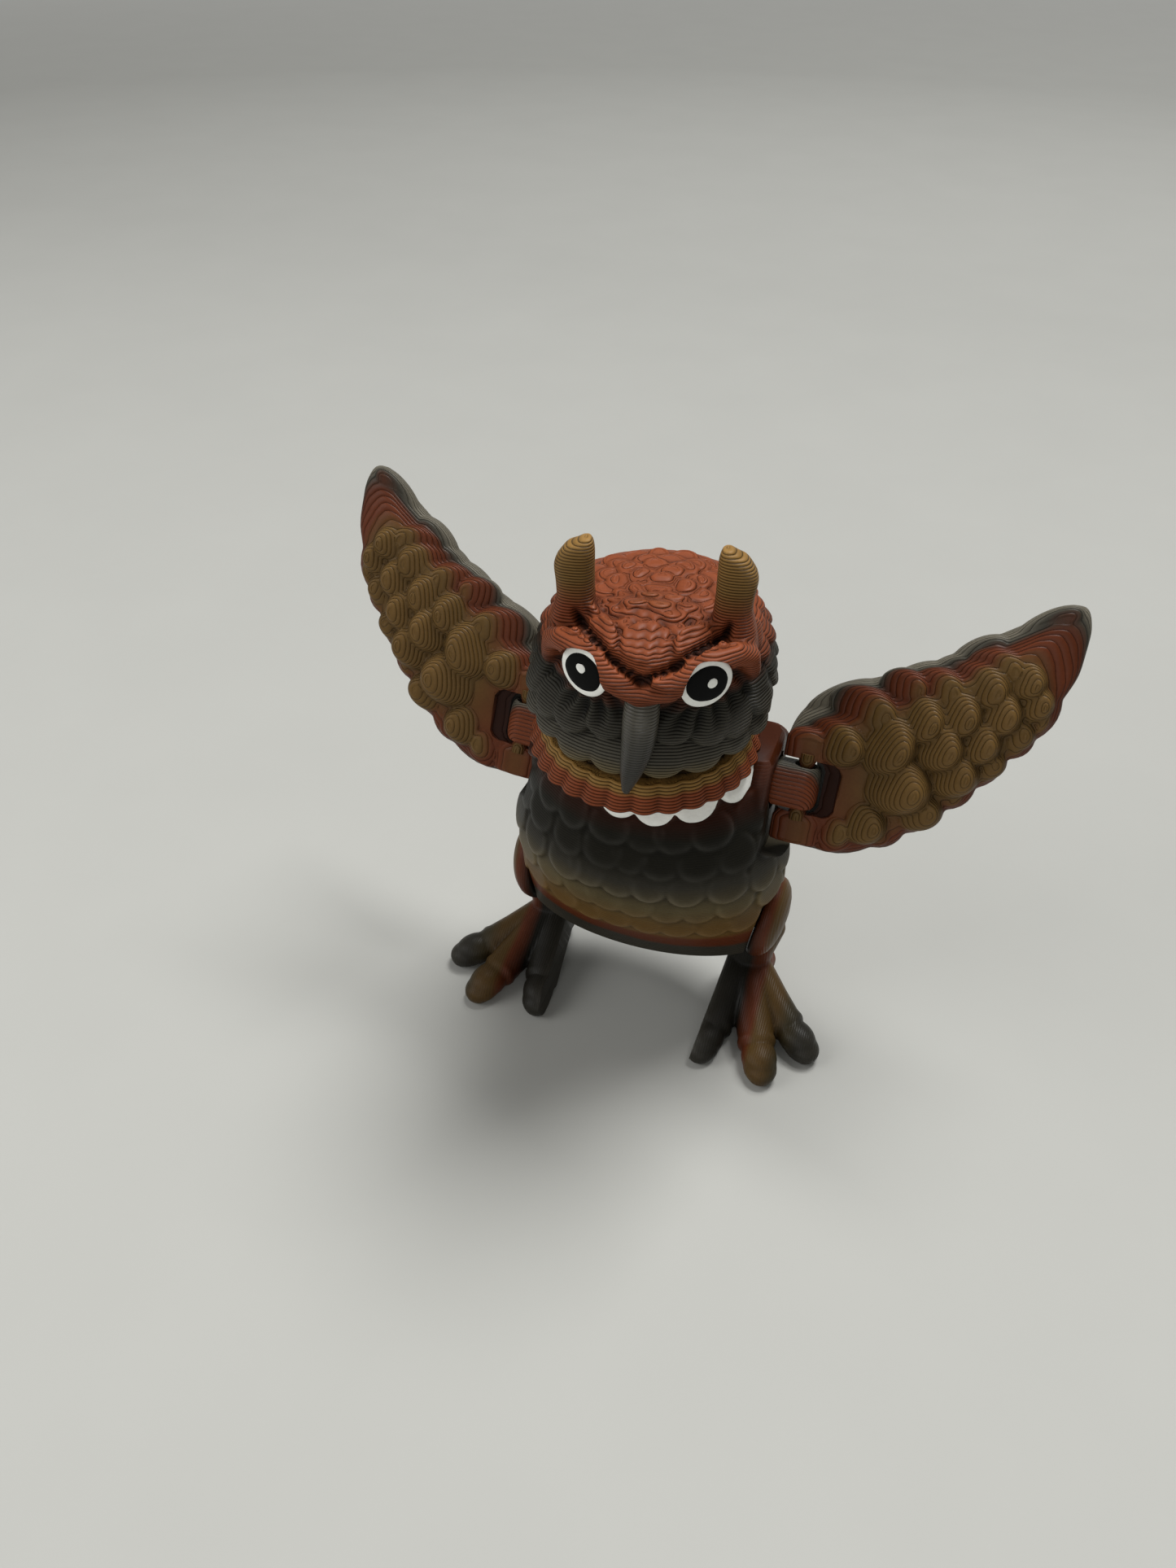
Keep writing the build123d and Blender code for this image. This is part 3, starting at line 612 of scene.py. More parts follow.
def silk_group():
    """Silk Filament: the sheen and blotches that every printed piece shares, with a painted highlight on
    the ridges and painted shade in the hollows.
    """
    tree = bpy.data.node_groups.get("Silk Filament")
    if tree:
        return tree
    tree, given, leave = new_group(
        "Silk Filament", "ShaderNodeTree",
        [("Colour", "Color", (0.5, 0.5, 0.5, 1)), ("Plate", "Vector", None), ("Seam", "Float", 0.0),
         ("Seam Dark", "Float", 0.5), ("Edge Light", "Float", 0.35), ("Edge Grey", "Float", 0.02),
         ("Hollow Dark", "Float", 0.6), ("Roughness", "Float", 0.42)],
        [("Colour", "Color"), ("Roughness", "Float")])
    ridge, hollow = (Signal(add_node(tree, "ShaderNodeAttribute", attribute_name=key), "Fac")
                     for key in ("ridge", "hollow"))
    blotch = noise_node(given["Plate"], 140.0, 4.0, 0.6)
    grain = noise_node(given["Plate"], 2600.0, 2.0, 0.5)
    tone = (blotch * 0.52 + 0.74) * (grain * 0.28 + 0.86)
    # painted shade: the hollows are darkened by Hollow Dark
    tone = tone * (1 - given["Seam"] * given["Seam Dark"]) * (1 - hollow * given["Hollow Dark"])
    # painted highlight: the ridges are lightened toward a brighter, greyer copy of the colour
    highlight_colour = add_node(tree, "ShaderNodeVectorMath",
                      {0: given["Colour"], 1: (1.9, 1.9, 1.9), 2: given["Edge Grey"]},
                      operation="MULTIPLY_ADD")
    ridge_highlight = ridge.math("MULTIPLY", given["Edge Light"], clamp=True)
    rough = given["Roughness"] + (blotch - 0.5) * 0.22
    feed(leave, {"Colour": mix_node(ridge_highlight, scale_node(given["Colour"], tone), Signal(highlight_colour)),
                 "Roughness": rough.math("ADD", hollow * 0.2, clamp=True)})
    return tree


def new_material(name):
    """A material with nodes: itself, its tree, its shader and its texture coordinates."""
    material = bpy.data.materials.new(name)
    material.use_nodes = True
    tree = material.node_tree
    return material, tree, tree.nodes["Principled BSDF"], tree.nodes.new("ShaderNodeTexCoord")


def tinted(key, share=1.0):
    """A chosen colour, made darker or lighter by a share."""
    return tuple(min(1.0, part * share) for part in getattr(bpy.context.scene.owl_colours, key))


def filament_material(name, plate, bands, relief=0.00012, seam_dark=0.5, edge_light=0.35,
                      hollow_dark=0.6, roughness=0.42, waver=0.15, smear=0.0006, lean=0.0,
                      edge_grey=0.01, gloss=0.16, layer=None):
    """Printed plastic whose colour changes with height above the plate.
    plate is the printing frame in millimetres, and bands are rows of height in millimetres, colour
    and its share. lean makes the colours change along the plate's X too."""
    material, tree, shader, coordinates = new_material(name)
    on_plate = Signal(add_node(
        tree, "ShaderNodeMapping",
        {"Vector": Signal(coordinates, "Object"), "Location": plate.translation * MM,
         "Rotation": plate.to_euler("XYZ")}, vector_type="TEXTURE"))
    facing = Signal(add_node(
        tree, "ShaderNodeVectorMath",
        {0: Signal(coordinates, "Normal"), 1: plate.col[2].to_3d()}, operation="DOT_PRODUCT"), "Value")
    steep = (facing * facing).math("MULTIPLY_ADD", -1.0, 1.0, clamp=True).math("SQRT")
    layers = add_node(
        tree, "ShaderNodeGroup",
        {"Plate": on_plate, "Layer Height": layer or bpy.context.scene.owl_sizes.layer_height,
         "Waver": waver, "Steepness": steep}, node_tree=layers_group())
    place = add_node(tree, "ShaderNodeSeparateXYZ", {0: on_plate})
    drift = (noise_node(on_plate, 90.0, 2.0) - 0.5) * smear
    level = Signal(place, "Z") + drift + Signal(place, "X") * lean
    low, high = bands[0][0], bands[-1][0]
    fraction = add_node(tree, "ShaderNodeMapRange",
                        {"Value": level, "From Min": low * MM, "From Max": high * MM})
    ramp = add_node(tree, "ShaderNodeValToRGB", {"Fac": Signal(fraction, "Result")})
    while len(ramp.color_ramp.elements) < len(bands):
        ramp.color_ramp.elements.new(0.5)
    for element, (height, key, share) in zip(ramp.color_ramp.elements, bands):
        element.position = (height - low) / (high - low)
        element.color = (*tinted(key, share), 1)
    # edge_light and edge_grey set the painted highlight on the ridges, and hollow_dark the painted shade in
    # the hollows
    silk = add_node(
        tree, "ShaderNodeGroup",
        {"Colour": Signal(ramp, "Color"), "Plate": on_plate, "Seam": Signal(layers, "Seam"),
         "Seam Dark": seam_dark, "Edge Light": edge_light, "Edge Grey": edge_grey,
         "Hollow Dark": hollow_dark, "Roughness": roughness}, node_tree=silk_group())
    bump = add_node(tree, "ShaderNodeBump",
                    {"Height": Signal(layers, "Bead"), "Distance": relief, "Strength": 1.0})
    feed(shader, {"Base Color": Signal(silk, "Colour"), "Roughness": Signal(silk, "Roughness"),
                  "Specular IOR Level": gloss, "Normal": Signal(bump)})
    return material


def hand_over(obj, body, slot, material, *nodes):
    """Turns a finished mesh into metres and gives it to its body. The nodes are those it stands for."""
    obj.data.transform(Matrix.Scale(MM, 4))
    obj.data.materials.clear()
    obj.data.materials.append(material)
    obj.data.shade_smooth()
    obj.data.set_sharp_from_angle(angle=math.radians(38))
    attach(obj, body)
    if nodes:
        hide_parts(*nodes)
    return obj


# ---------------------------------------------------------------- torso
# shares of the torso's height, and of its half width, front and back at that height
TORSO_ROWS = ((0.00, 0.980, 0.60, 0.70), (0.25, 0.990, 0.85, 0.88), (0.50, 1.000, 1.00, 1.00),
              (0.66, 0.925, 0.98, 0.97), (0.83, 0.820, 0.92, 0.88), (1.00, 0.690, 0.84, 0.74))
FOLD_LIMIT = math.radians(60)      # how far back a wing folds
SWIVEL_LIMIT = math.radians(60)    # how far a shoulder link swivels either way
TORSO_TOP = HEAD_BOTTOM - 0.3
TORSO_HALF_WIDTH = 20.7
BELLY_FRONT = 14.7           # half depths of the belly before and behind the middle
BELLY_BACK = 15.7
MIDDLE = Vector((NECK.x, NECK.y + 1.5, 0))
ROW_MIDDLE = 2.5             # from the tips of a row to where its girth is taken
FEATHER_LENGTH = 7.4
FEATHER_OVERLAP = 0.86       # step between the feathers of a row, as a share of their width
FEATHER_TIPS = (49.6, 45.6, 41.0, 36.5, 32.0, 27.2, 22.6)
# white scallops: across from the middle, height of the tip and half width
CHEST_SCALLOPS = ((-1.3, 45.7, 3.3), (4.0, 45.3, 3.3), (9.2, 45.7, 3.5), (13.3, 47.3, 3.9))
# radius and height, of the neck post and of the bores
NECK_PROFILE = ((0, -1.2), (12.2, -1.2), (12.2, 2.3), (4.5, 2.3), (4.5, 5.9), (6.0, 5.9), (6.0, 8.0),
                (4.5, 9.5), (0, 9.5))
SOCKET_PROFILE = ((0, -6.2), (3.4, -6.2), (3.4, -3.4), (2.5, -3.4), (2.5, -0.3), (4.3, -0.3), (4.3, 0.6),
                  (11.0, 0.6), (11.0, 12.0), (0, 12.0))
HIP_PROFILE = ((0, -6.7), (3.6, -6.7), (3.6, -3.9), (2.7, -3.9), (2.7, 1.5), (0, 1.5))
# the shoulder's round boss
SHOULDER_PROFILE = ((0, -17.0), (7.6, -17.0), (7.6, -0.6), (6.9, 0.5), (0, 0.5))
CUTTER_REACH = 30.0          # cutters run this far to the front and the back
# across and up: what stands above the slope from under the collar to the rim of a socket
SLOPE_CUT = ((14.6, 53.6), (17.4, 49.6), (30.0, 48.6), (30.0, 60.0), (14.6, 60.0))
# up the flat that the leg swings on, and out of it; above the haunch the belly swells again
FACET_CUT = ((-12.0, 0.0), (7.4, 0.0), (11.6, 3.2), (11.6, 30.0), (-12.0, 30.0))
# across a wing and out of its face: round its hinge and behind its flat back
WING_CUT = ((-3.9, 0.0), (-3.4, -2.0), (-2.0, -3.4), (0.0, -4.0), (34.0, -4.0), (34.0, 6.0), (-3.9, 6.0))
WING_CUT_ENDS = (-10.4, 26.0)
FEATHER_SWAY = math.radians(4)
PAINT_DEPTH = 0.14           # thickness of the paint on the breast


def smooth_row(rows, value):
    """A row of the table between its entries, on a smooth curve through them."""
    keys = [row[0] for row in rows]
    i = min(max(sum(1 for key in keys if key <= value) - 1, 0), len(rows) - 2)
    t = (value - keys[i]) / (keys[i + 1] - keys[i])
    before, after = rows[max(i - 1, 0)], rows[min(i + 2, len(rows) - 1)]
    result = []
    for a, b, c, d in zip(before[1:], rows[i][1:], rows[i + 1][1:], after[1:]):
        result.append(b + 0.5 * t * (c - a + t * (2 * a - 5 * b + 4 * c - d + t * (3 * (b - c) + d - a))))
    return result


def torso_ring(height):
    """Points round the torso at a height."""
    share = (height - TORSO_BOTTOM) / (TORSO_TOP - TORSO_BOTTOM)
    wide, front, back = smooth_row(TORSO_ROWS, share)
    half_depth = (BELLY_FRONT * front + BELLY_BACK * back) / 2
    centre = MIDDLE.y + (BELLY_BACK * back - BELLY_FRONT * front) / 2
    half_width = TORSO_HALF_WIDTH * wide
    return [Vector((MIDDLE.x + half_width * math.cos(a), centre + half_depth * math.sin(a), height))
            for a in circle(72)]


def shoulder_slope(name):
    """What stands above a shoulder's slope."""
    rings = [[(SIDES[name] * across, y, up) for across, up in SLOPE_CUT]
             for y in (-CUTTER_REACH, CUTTER_REACH)]
    return Clay().rings(rings).make(f"slope_{name}")


def side_facet(name):
    """What stands beyond the flat that a leg swings on."""
    hip = hip_frame(name)
    out = hip.col[2].to_3d()
    up = out.cross(Vector((0, 1, 0)))
    up = up if up.z > 0 else -up
    rings = [[hip.translation + up * rise + out * reach + Vector((0, y, 0)) for rise, reach in FACET_CUT]
             for y in (-CUTTER_REACH, CUTTER_REACH)]
    return Clay().rings(rings).make(f"facet_{name}")


def turned_by(joint, angle):
    """The motion of a joint by an angle, in millimetres."""
    place = joint_point(joint)
    turn = Matrix.Rotation(angle, 4, Vector(JOINTS[joint]["axis"]))
    return Matrix.Translation(place) @ turn @ Matrix.Translation(-place)


def folded_wing_room(name, swivel):
    """What a wing folded right back takes up, with its shoulder turned by swivel."""
    seat = (turned_by(f"shoulder_swivel_{name}", swivel) @ turned_by(f"wing_fold_{name}", FOLD_LIMIT)
            @ wing_frame(name))
    rings = [[seat @ Vector((across, along, out)) for across, out in WING_CUT] for along in WING_CUT_ENDS]
    return Clay().rings(rings).make(f"room_{name}")


def torso_clay():
    """The torso's body without feathers."""
    clay = Clay()
    steps = 44
    low, high = TORSO_BOTTOM - 1.5, TORSO_TOP + 1.0
    clay.rings([torso_ring(low + (high - low) * i / steps) for i in range(steps + 1)])
    for name in SIDES:
        clay.revolve(socket_frame(name), SHOULDER_PROFILE)
    return clay


def around(tree, centre, angle, height):
    """Where the surface is met from outside, at an angle about an upright line, and its normal."""
    outward = Vector((math.cos(angle), math.sin(angle), 0))
    origin = Vector((centre.x, centre.y, height)) + OUTSIDE * outward
    place, normal, _, _ = tree.ray_cast(origin, -outward)
    return place, normal


def lay_feather(place, normal, tip, width, length, rise, sink=0.25, tilt=0.0):
    """Guide of a feather whose middle lies at a place on the surface, sunk a little and tilted up."""
    tip = Vector(tip)
    tip = (tip - normal * tip.dot(normal)).normalized()
    if tilt:
        normal = (normal - tip * tilt).normalized()
        tip = (tip - normal * tip.dot(normal)).normalized()
    return place - tip * length / 2 - normal * sink, normal, tip, width, length, rise


def torso_guides(tree, lift):
    """Staggered rows of feathers round the torso; the front of the upper row is the painted one."""
    sizes = bpy.context.scene.owl_sizes
    width = sizes.breast_width / MM
    chance = random.Random(sizes.seed)
    guides = []
    for row, tip_height in enumerate(FEATHER_TIPS):
        ring = torso_ring(tip_height + ROW_MIDDLE)
        girth = sum((b - a).length for a, b in zip(ring, ring[1:] + ring[:1]))
        count = round(girth / (width * FEATHER_OVERLAP))
        for i in range(count):
            angle = 2 * math.pi * (i + 0.5 * (row % 2) + 0.15 * chance.uniform(-1, 1)) / count
            length = FEATHER_LENGTH + 0.5 * chance.uniform(-1, 1)
            height = tip_height + length / 2 + 0.35 * chance.uniform(-1, 1)
            place, normal = around(tree, MIDDLE, angle, height)
            if place is None:
                continue
            painted = any(abs(place.x - MIDDLE.x - across) < half + 1.5
                          for across, _, half in CHEST_SCALLOPS)
            if row == 1 and place.y < MIDDLE.y and painted:
                continue
            guides.append(lay_feather(place, normal, -UP, width * chance.uniform(0.95, 1.12), length, lift))
    return guides


def chest_guides(tree, lift):
    """The four scallops under the collar that are painted white."""
    guides = []
    for across, tip_height, half in CHEST_SCALLOPS:
        length = 2 * half + 2.2
        height = min(tip_height + length / 2, TORSO_TOP - 0.8)
        before = Vector((MIDDLE.x + across, MIDDLE.y - OUTSIDE, height))
        place, normal, _, _ = tree.ray_cast(before, Vector((0, 1, 0)))
        place.z = tip_height + length / 2
        guides.append(lay_feather(place, normal, -UP, 2 * half + 0.5, length, lift))
    return guides


def torso_material():
    """Grey, red, gold, olive and near-black bands from the underside up."""
    bands = ((0.0, "slate", 0.45), (2.9, "slate", 0.4), (3.6, "russet", 0.35),
             (5.6, "russet", 0.4), (6.8, "ochre", 0.62), (10.0, "ochre", 0.55),
             (14.5, "olive", 1.1), (19.5, "slate", 0.4), (22.5, "soot", 1.1),
             (27.5, "soot", 1.0), (30.5, "russet", 0.1), (35.7, "russet", 0.2))
    # a strong painted highlight on the feather edges and painted shade between them
    return filament_material("torso_filament", Matrix.Translation((0, 0, TORSO_BOTTOM)), bands,
                             relief=0.00003, seam_dark=0.10, edge_light=1.0, roughness=0.38, smear=0.0016,
                             edge_grey=0.03, gloss=0.07)


class OWL_OT_torso(bpy.types.Operator):
    """Builds the feathered torso with its neck post and sockets"""

    bl_idname = "owl.torso"
    bl_label = "Torso"

    def execute(self, context):
        sizes = context.scene.owl_sizes
        material = torso_material()
        core = fuse("torso_core", [torso_clay().make("torso_clay")], 0.6, 1)
        tree = BVHTree.FromObject(core, context.evaluated_depsgraph_get())
        lift = sizes.breast_lift / MM
        guides = torso_guides(tree, lift) + chest_guides(tree, lift)
        feathers = grow_feathers("torso_feathers", guides, SHINGLE, material, narrow=0.85,
                                 sway=FEATHER_SWAY)
        skin = fuse("torso_skin", [core, feathers], sizes.skin_detail / MM, 3)
        mark_relief(skin, reach=3, gain=13.0)
        slice_off(skin, (0, 0, TORSO_BOTTOM), -UP)
        slice_off(skin, (0, 0, TORSO_TOP), UP)
        flats = []
        for name in SIDES:
            flats += [side_facet(name), shoulder_slope(name)]
            flats += [folded_wing_room(name, SWIVEL_LIMIT * share) for share in (-1, 0, 1)]
        boolean(skin, flats)
        neck = Matrix.Translation((NECK.x, NECK.y, TORSO_TOP))
        boolean(skin, [Clay().revolve(neck, NECK_PROFILE, 64).make("neck_post")], "UNION")
        bores = []
        for name in SIDES:
            bores += [Clay().revolve(socket_frame(name), SOCKET_PROFILE, 56).make(f"socket_{name}"),
                      Clay().revolve(hip_frame(name), HIP_PROFILE, 56).make(f"hip_{name}")]
        boolean(skin, bores)
        hand_over(skin, "torso", "torso_plastic", material, "torso")
        return {"FINISHED"}


# ---------------------------------------------------------------- paint
STROKE_TURN = (0.2, 0.5, 0.3)
BARE_PLASTIC = (0.12, 0.11, 0.09, 1)


def brushed_paint(name, colour, stroke_scale, depth=0.00004, worn=0.0, gloss=0.4):
    """Hand-brushed paint: fine strokes, thin spots and a soft sheen."""
    material, tree, shader, coordinates = new_material(name)
    on_piece = Signal(coordinates, "Object")
    brushed = add_node(tree, "ShaderNodeMapping",
                       {"Vector": on_piece, "Rotation": STROKE_TURN, "Scale": stroke_scale})
    strokes = noise_node(Signal(brushed), 1.0, 4.0, 0.6)
    patches = noise_node(on_piece, 420.0, 3.0, 0.6)
    tone = (strokes * 0.26 + 0.84) * (patches * 0.18 + 0.9)
    thin = add_node(tree, "ShaderNodeMapRange",
                    {"Value": patches, "From Min": 0.66, "From Max": 0.8, "To Max": worn})
    bump = add_node(tree, "ShaderNodeBump", {"Height": strokes, "Distance": depth})
    feed(shader, {"Base Color": mix_node(Signal(thin), scale_node(colour, tone), BARE_PLASTIC),
                  "Roughness": (strokes * 0.2).math("ADD", 0.4, clamp=True),
                  "Specular IOR Level": gloss, "Normal": Signal(bump)})
    return material


class OWL_OT_chest_paint(bpy.types.Operator):
    """Paints the scallops under the collar"""

    bl_idname = "owl.chest_paint"
    bl_label = "Chest Paint"

    def execute(self, context):
        sizes = context.scene.owl_sizes
        material = brushed_paint("chest_white", tinted("paint_white"), (900, 2600, 2600), worn=0.2)
        core = fuse("chest_core", [torso_clay().make("chest_clay")], 0.6, 1)
        tree = BVHTree.FromObject(core, context.evaluated_depsgraph_get())
        guides = chest_guides(tree, sizes.breast_lift / MM + PAINT_DEPTH)
        discard(core)
        feathers = grow_feathers("chest_feathers", guides, SHINGLE, material, narrow=0.85,
                                 sway=FEATHER_SWAY)
        skin = fuse("chest_scallops", [feathers], 0.2, 2)
        slice_off(skin, (0, 0, TORSO_TOP - 0.02), UP)
        hand_over(skin, "torso", "white_paint", material, "chest_paint")
        return {"FINISHED"}


# ---------------------------------------------------------------- head
# radius and rise of the head's round core, above the collar's rim
HEAD_PROFILE = ((0, -0.8), (15.0, -0.8), (15.0, 1.4), (14.6, 3.2), (13.6, 4.7), (14.3, 6.2),
                (15.4, 8.5), (15.7, 11.0), (15.3, 14.5), (14.3, 18.0), (12.8, 20.8), (11.2, 22.7),
                (9.2, 23.7), (5.0, 24.4), (0, 24.6))
CHAMBER_PROFILE = ((0, -1.5), (12.5, -1.5), (12.5, 2.3), (4.8, 2.3), (4.8, 5.3), (6.3, 5.3), (6.3, 9.5),
                   (0, 9.5))
JOWL_LEAN = 0.05             # the lower head leans this share of its depth toward the owl's right
JOWL_TOP = 20.0
# eyes: place in the head's frame on the owl's left, turn outward, lean of the oval and half sizes
EYE_AT = Vector((7.4, -15.0, 20.4))
EYE_YAW = math.radians(27)
EYE_LEAN = math.radians(24)
EYE_HALF = (3.3, 3.5)
PUPIL_HALF = (2.65, 2.6)
GLINT_HALF = (0.66, 0.66)
# a glint's place on its pupil
GLINTS = {"left": (0.6, 0.1), "right": (-0.2, 0.6)}
NAPE_RADIUS = 15.5
NAPE_RISES = (6.4, 9.6, 12.8, 16.0, 19.2, 22.2)
# in the head's frame, on the owl's left: brow band, the line of beads on it, and the groove above them
BROW_PATH = ((12.7, -8.8, 18.4), (12.3, -10.2, 21.6), (10.5, -12.7, 23.3), (8.0, -14.7, 23.0),
             (5.2, -16.2, 21.6), (2.8, -17.0, 20.0), (0.0, -17.2, 18.9))
BROW_RADII = (1.3, 1.4, 1.55, 1.65, 1.65, 1.6, 1.6)
BEAD_PATH = ((9.4, -12.9, 24.9), (7.4, -14.9, 24.5), (5.1, -16.6, 23.0), (2.7, -17.7, 21.2),
             (0.9, -18.1, 20.1))
BEAD_STEP = 1.15
BEAD_RADIUS = 0.62
COLLAR_RADIUS = 16.2
COLLAR_OVERLAP = 1.25        # width of a collar lobe, as a share of its step
# the groove between the collar and the head: radius of its floor, and height over the collar's rim
NECK_GROOVE_RADIUS = 12.6
NECK_GROOVE_LEVEL = 4.6
# grooves of the brow: the way they are cut in, their path and their size
GROOVE_THROUGH = (0.0, -0.55, 0.83)
GROOVE_PATH = ((9.4, -10.6, 26.2), (7.0, -13.8, 25.4), (4.9, -15.6, 24.2), (2.4, -16.7, 22.2),
               (0.2, -17.1, 20.9))
GROOVE_HALF = 0.95
GROOVE_DEPTH = 1.1
# lobes of the forehead between the two grooves, from the crown down, with their radius
WEDGE_LOBES = ((((0.0, -11.5, 24.0), (0.0, -14.3, 22.6), (0.0, -15.6, 21.5)), 1.75),
               (((3.4, -11.0, 23.8), (2.9, -13.8, 22.9), (2.0, -15.2, 22.0)), 1.75),
               (((6.4, -9.8, 23.8), (5.6, -12.6, 23.6), (4.3, -14.2, 23.0)), 1.7))
# ear tuft: height, inner edge, outer edge and half depth
TUFT_ROWS = ((20.0, 6.6, 13.4, 3.3), (24.0, 7.1, 12.8, 2.7), (26.5, 7.3, 12.1, 2.2),
             (28.5, 7.4, 12.2, 2.0), (30.6, 7.4, 12.5, 1.95), (31.8, 7.4, 12.2, 1.9),
             (32.8, 7.4, 11.5, 1.8), (33.6, 7.5, 10.9, 1.6), (34.0, 7.6, 9.7, 1.4),
             (34.5, 7.8, 9.1, 1.1), (34.7, 8.1, 8.7, 0.5))
TUFT_BACK = 7.4
# forehead: across, height where it is laid, width, length, lift, share of the tip's slant to the middle
FOREHEAD_FEATHERS = ((-6.3, 24.6, 6.2, 6.4, 0.7, -0.15), (6.3, 24.6, 6.2, 6.4, 0.7, -0.15),
                     (0.0, 24.7, 7.0, 6.8, 1.2, 0.0), (-3.4, 23.0, 6.4, 7.0, 0.7, 0.3),
                     (3.4, 23.0, 6.4, 7.0, 0.7, 0.3), (0.0, 21.6, 5.0, 4.6, 0.6, 0.0))
# crown: radius of a ring and its number of feathers
CROWN_RINGS = ((10.4, 22), (8.5, 17), (6.5, 13), (4.5, 9), (2.4, 5), (0.5, 2))
# jowls: degrees from the front, height of the tip, height of the root, width
LOWER_JOWL = ((11, 5.6, 12.0, 7.4), (29, 5.8, 12.0, 7.2), (47, 6.8, 12.8, 6.6), (64, 7.5, 13.2, 6.0))
UPPER_JOWL = ((15, 11.0, 17.0, 6.6), (32, 9.9, 16.4, 6.6), (48, 9.7, 16.0, 6.2), (65, 10.8, 16.4, 5.8))
# lumps down the edge of the facial disc: degrees from the front, and height
DISC_RIM = ((66, 24.0), (70, 20.8), (72, 17.4), (70, 14.4))


def mirrored(points, side):
    """Points in the head's frame, on one side."""
    return [HEAD_FRAME @ Vector((side * x, y, z)) for x, y, z in points]


def eye_frame(side):
    """Frame of an eye: X across, Y up, Z out of the face."""
    centre = HEAD_FRAME @ Vector((side * EYE_AT.x, EYE_AT.y, EYE_AT.z))
    yaw = HEAD_TURN + side * EYE_YAW
    across = Vector((math.cos(yaw), math.sin(yaw), 0))
    return basis(centre, across, UP, across.cross(UP))


def tuft_rings(side):
    """Blocky ear tuft with a raised inner tip."""
    rings = []
    for height, inner, outer, deep in TUFT_ROWS:
        middle, half = side * (inner + outer) / 2, (outer - inner) / 2
        rings.append([HEAD_FRAME @ Vector((middle + half * squircle(math.cos(a)),
                                           -TUFT_BACK + deep * squircle(math.sin(a)), height))
                      for a in circle(28)])
    return rings


def squircle(value):
    """Pushes a sine toward its ends, so that a ring gets flatter sides."""
    return math.copysign(abs(value) ** 0.75, value)


def head_clay():
    """Head, facial disc, brows, ear tufts and eye mounds."""
    clay = Clay()
    clay.revolve(HEAD_FRAME, HEAD_PROFILE, 96)
    turn = Matrix.Rotation(HEAD_TURN, 4, "Z")
    clay.ball(HEAD_FRAME @ Vector((0, -7.2, 15.6)), (12.2, 9.2, 10.4), turn, 40)
    clay.ball(HEAD_FRAME @ Vector((0, -9.2, 20.9)), (8.8, 7.6, 4.2), turn, 32)
    for path, radius in WEDGE_LOBES:
        for side in (1, -1):
            clay.limb(mirrored(path, side), (radius,) * len(path))
    for side in SIDES.values():
        clay.limb(mirrored(BROW_PATH, side), BROW_RADII)
        clay.rings(tuft_rings(side))
        seat = eye_frame(side)
        clay.ball(seat @ Vector((0, 0, -3.0)), (4.4, 4.5, 3.6), seat.to_3x3().to_4x4(), 32)
    return clay


def brow_beads():
    """Small beads that make the groove's lower edge ragged."""
    clay = Clay()
    chance = random.Random(bpy.context.scene.owl_sizes.seed + 3)
    for side in SIDES.values():
        for start, end in zip(BEAD_PATH, BEAD_PATH[1:]):
            start, end = Vector(start), Vector(end)
            count = max(1, round((end - start).length / BEAD_STEP))
            for i in range(count):
                spot = start.lerp(end, (i + 0.5) / count)
                spot += Vector((0, 0.35, -0.2)) + Vector((0, 0, 0.22 * chance.uniform(-1, 1)))
                radius = BEAD_RADIUS + 0.12 * chance.uniform(-1, 1)
                clay.ball(mirrored([spot], side)[0], (radius,) * 3, segments=12)
    return clay


def head_guides(tree, lift, width):
    """Feathers round the back and sides, and over the crown."""
    chance = random.Random(bpy.context.scene.owl_sizes.seed + 1)
    centre = HEAD_FRAME.translation
    guides = []
    for row, rise in enumerate(NAPE_RISES):
        count = round(2 * math.pi * NAPE_RADIUS / (width * 0.9))
        # the face stays bare this many degrees to each side
        bare = 58 if row < 4 else 66
        for i in range(count):
            angle = 2 * math.pi * (i + 0.5 * (row % 2)) / count
            if abs((math.degrees(angle) - 90) % 360 - 180) < bare:
                continue
            place, normal = around(tree, centre, angle + HEAD_TURN, centre.z + rise)
            if place is None:
                continue
            guides.append(lay_feather(place, normal, -UP, width * chance.uniform(0.95, 1.12),
                                      4.9 + 0.4 * chance.uniform(-1, 1), lift, tilt=0.12))
    for ring, (radius, count) in enumerate(CROWN_RINGS):
        for i in range(count):
            angle = 2 * math.pi * (i + 0.5 * (ring % 2)) / count
            spot = Vector((radius * math.cos(angle), radius * math.sin(angle), OUTSIDE))
            place, normal, _, _ = tree.ray_cast(HEAD_FRAME @ spot, -UP)
            if place is None or place.z > HEAD_BOTTOM + 27 or (spot.y < -8.2 and abs(spot.x) < 9.5):
                continue
            tip = HEAD_AXES @ Vector((math.cos(angle), math.sin(angle), 0))
            guides.append(lay_feather(place, normal, tip, 4.0 * chance.uniform(0.85, 1.2),
                                      4.4 * chance.uniform(0.85, 1.15), chance.uniform(0.4, 0.65),
                                      sink=0.1, tilt=0.13))
    return guides


def forehead_guides(tree):
    """Broad feathers that narrow toward the beak in three rows."""
    guides = []
    forward = HEAD_AXES @ Vector((0, -1, 0))
    for across, rise, width, length, lift, slant in FOREHEAD_FEATHERS:
        place, normal, _, _ = tree.ray_cast(HEAD_FRAME @ Vector((across, -40, rise)), -forward)
        if place is None:
            continue
        inward = HEAD_AXES @ Vector((-math.copysign(slant, across) if across else 0, 0, 0))
        guides.append(lay_feather(place, normal, -UP + forward + inward, width, length, lift, tilt=0.05))
    return guides


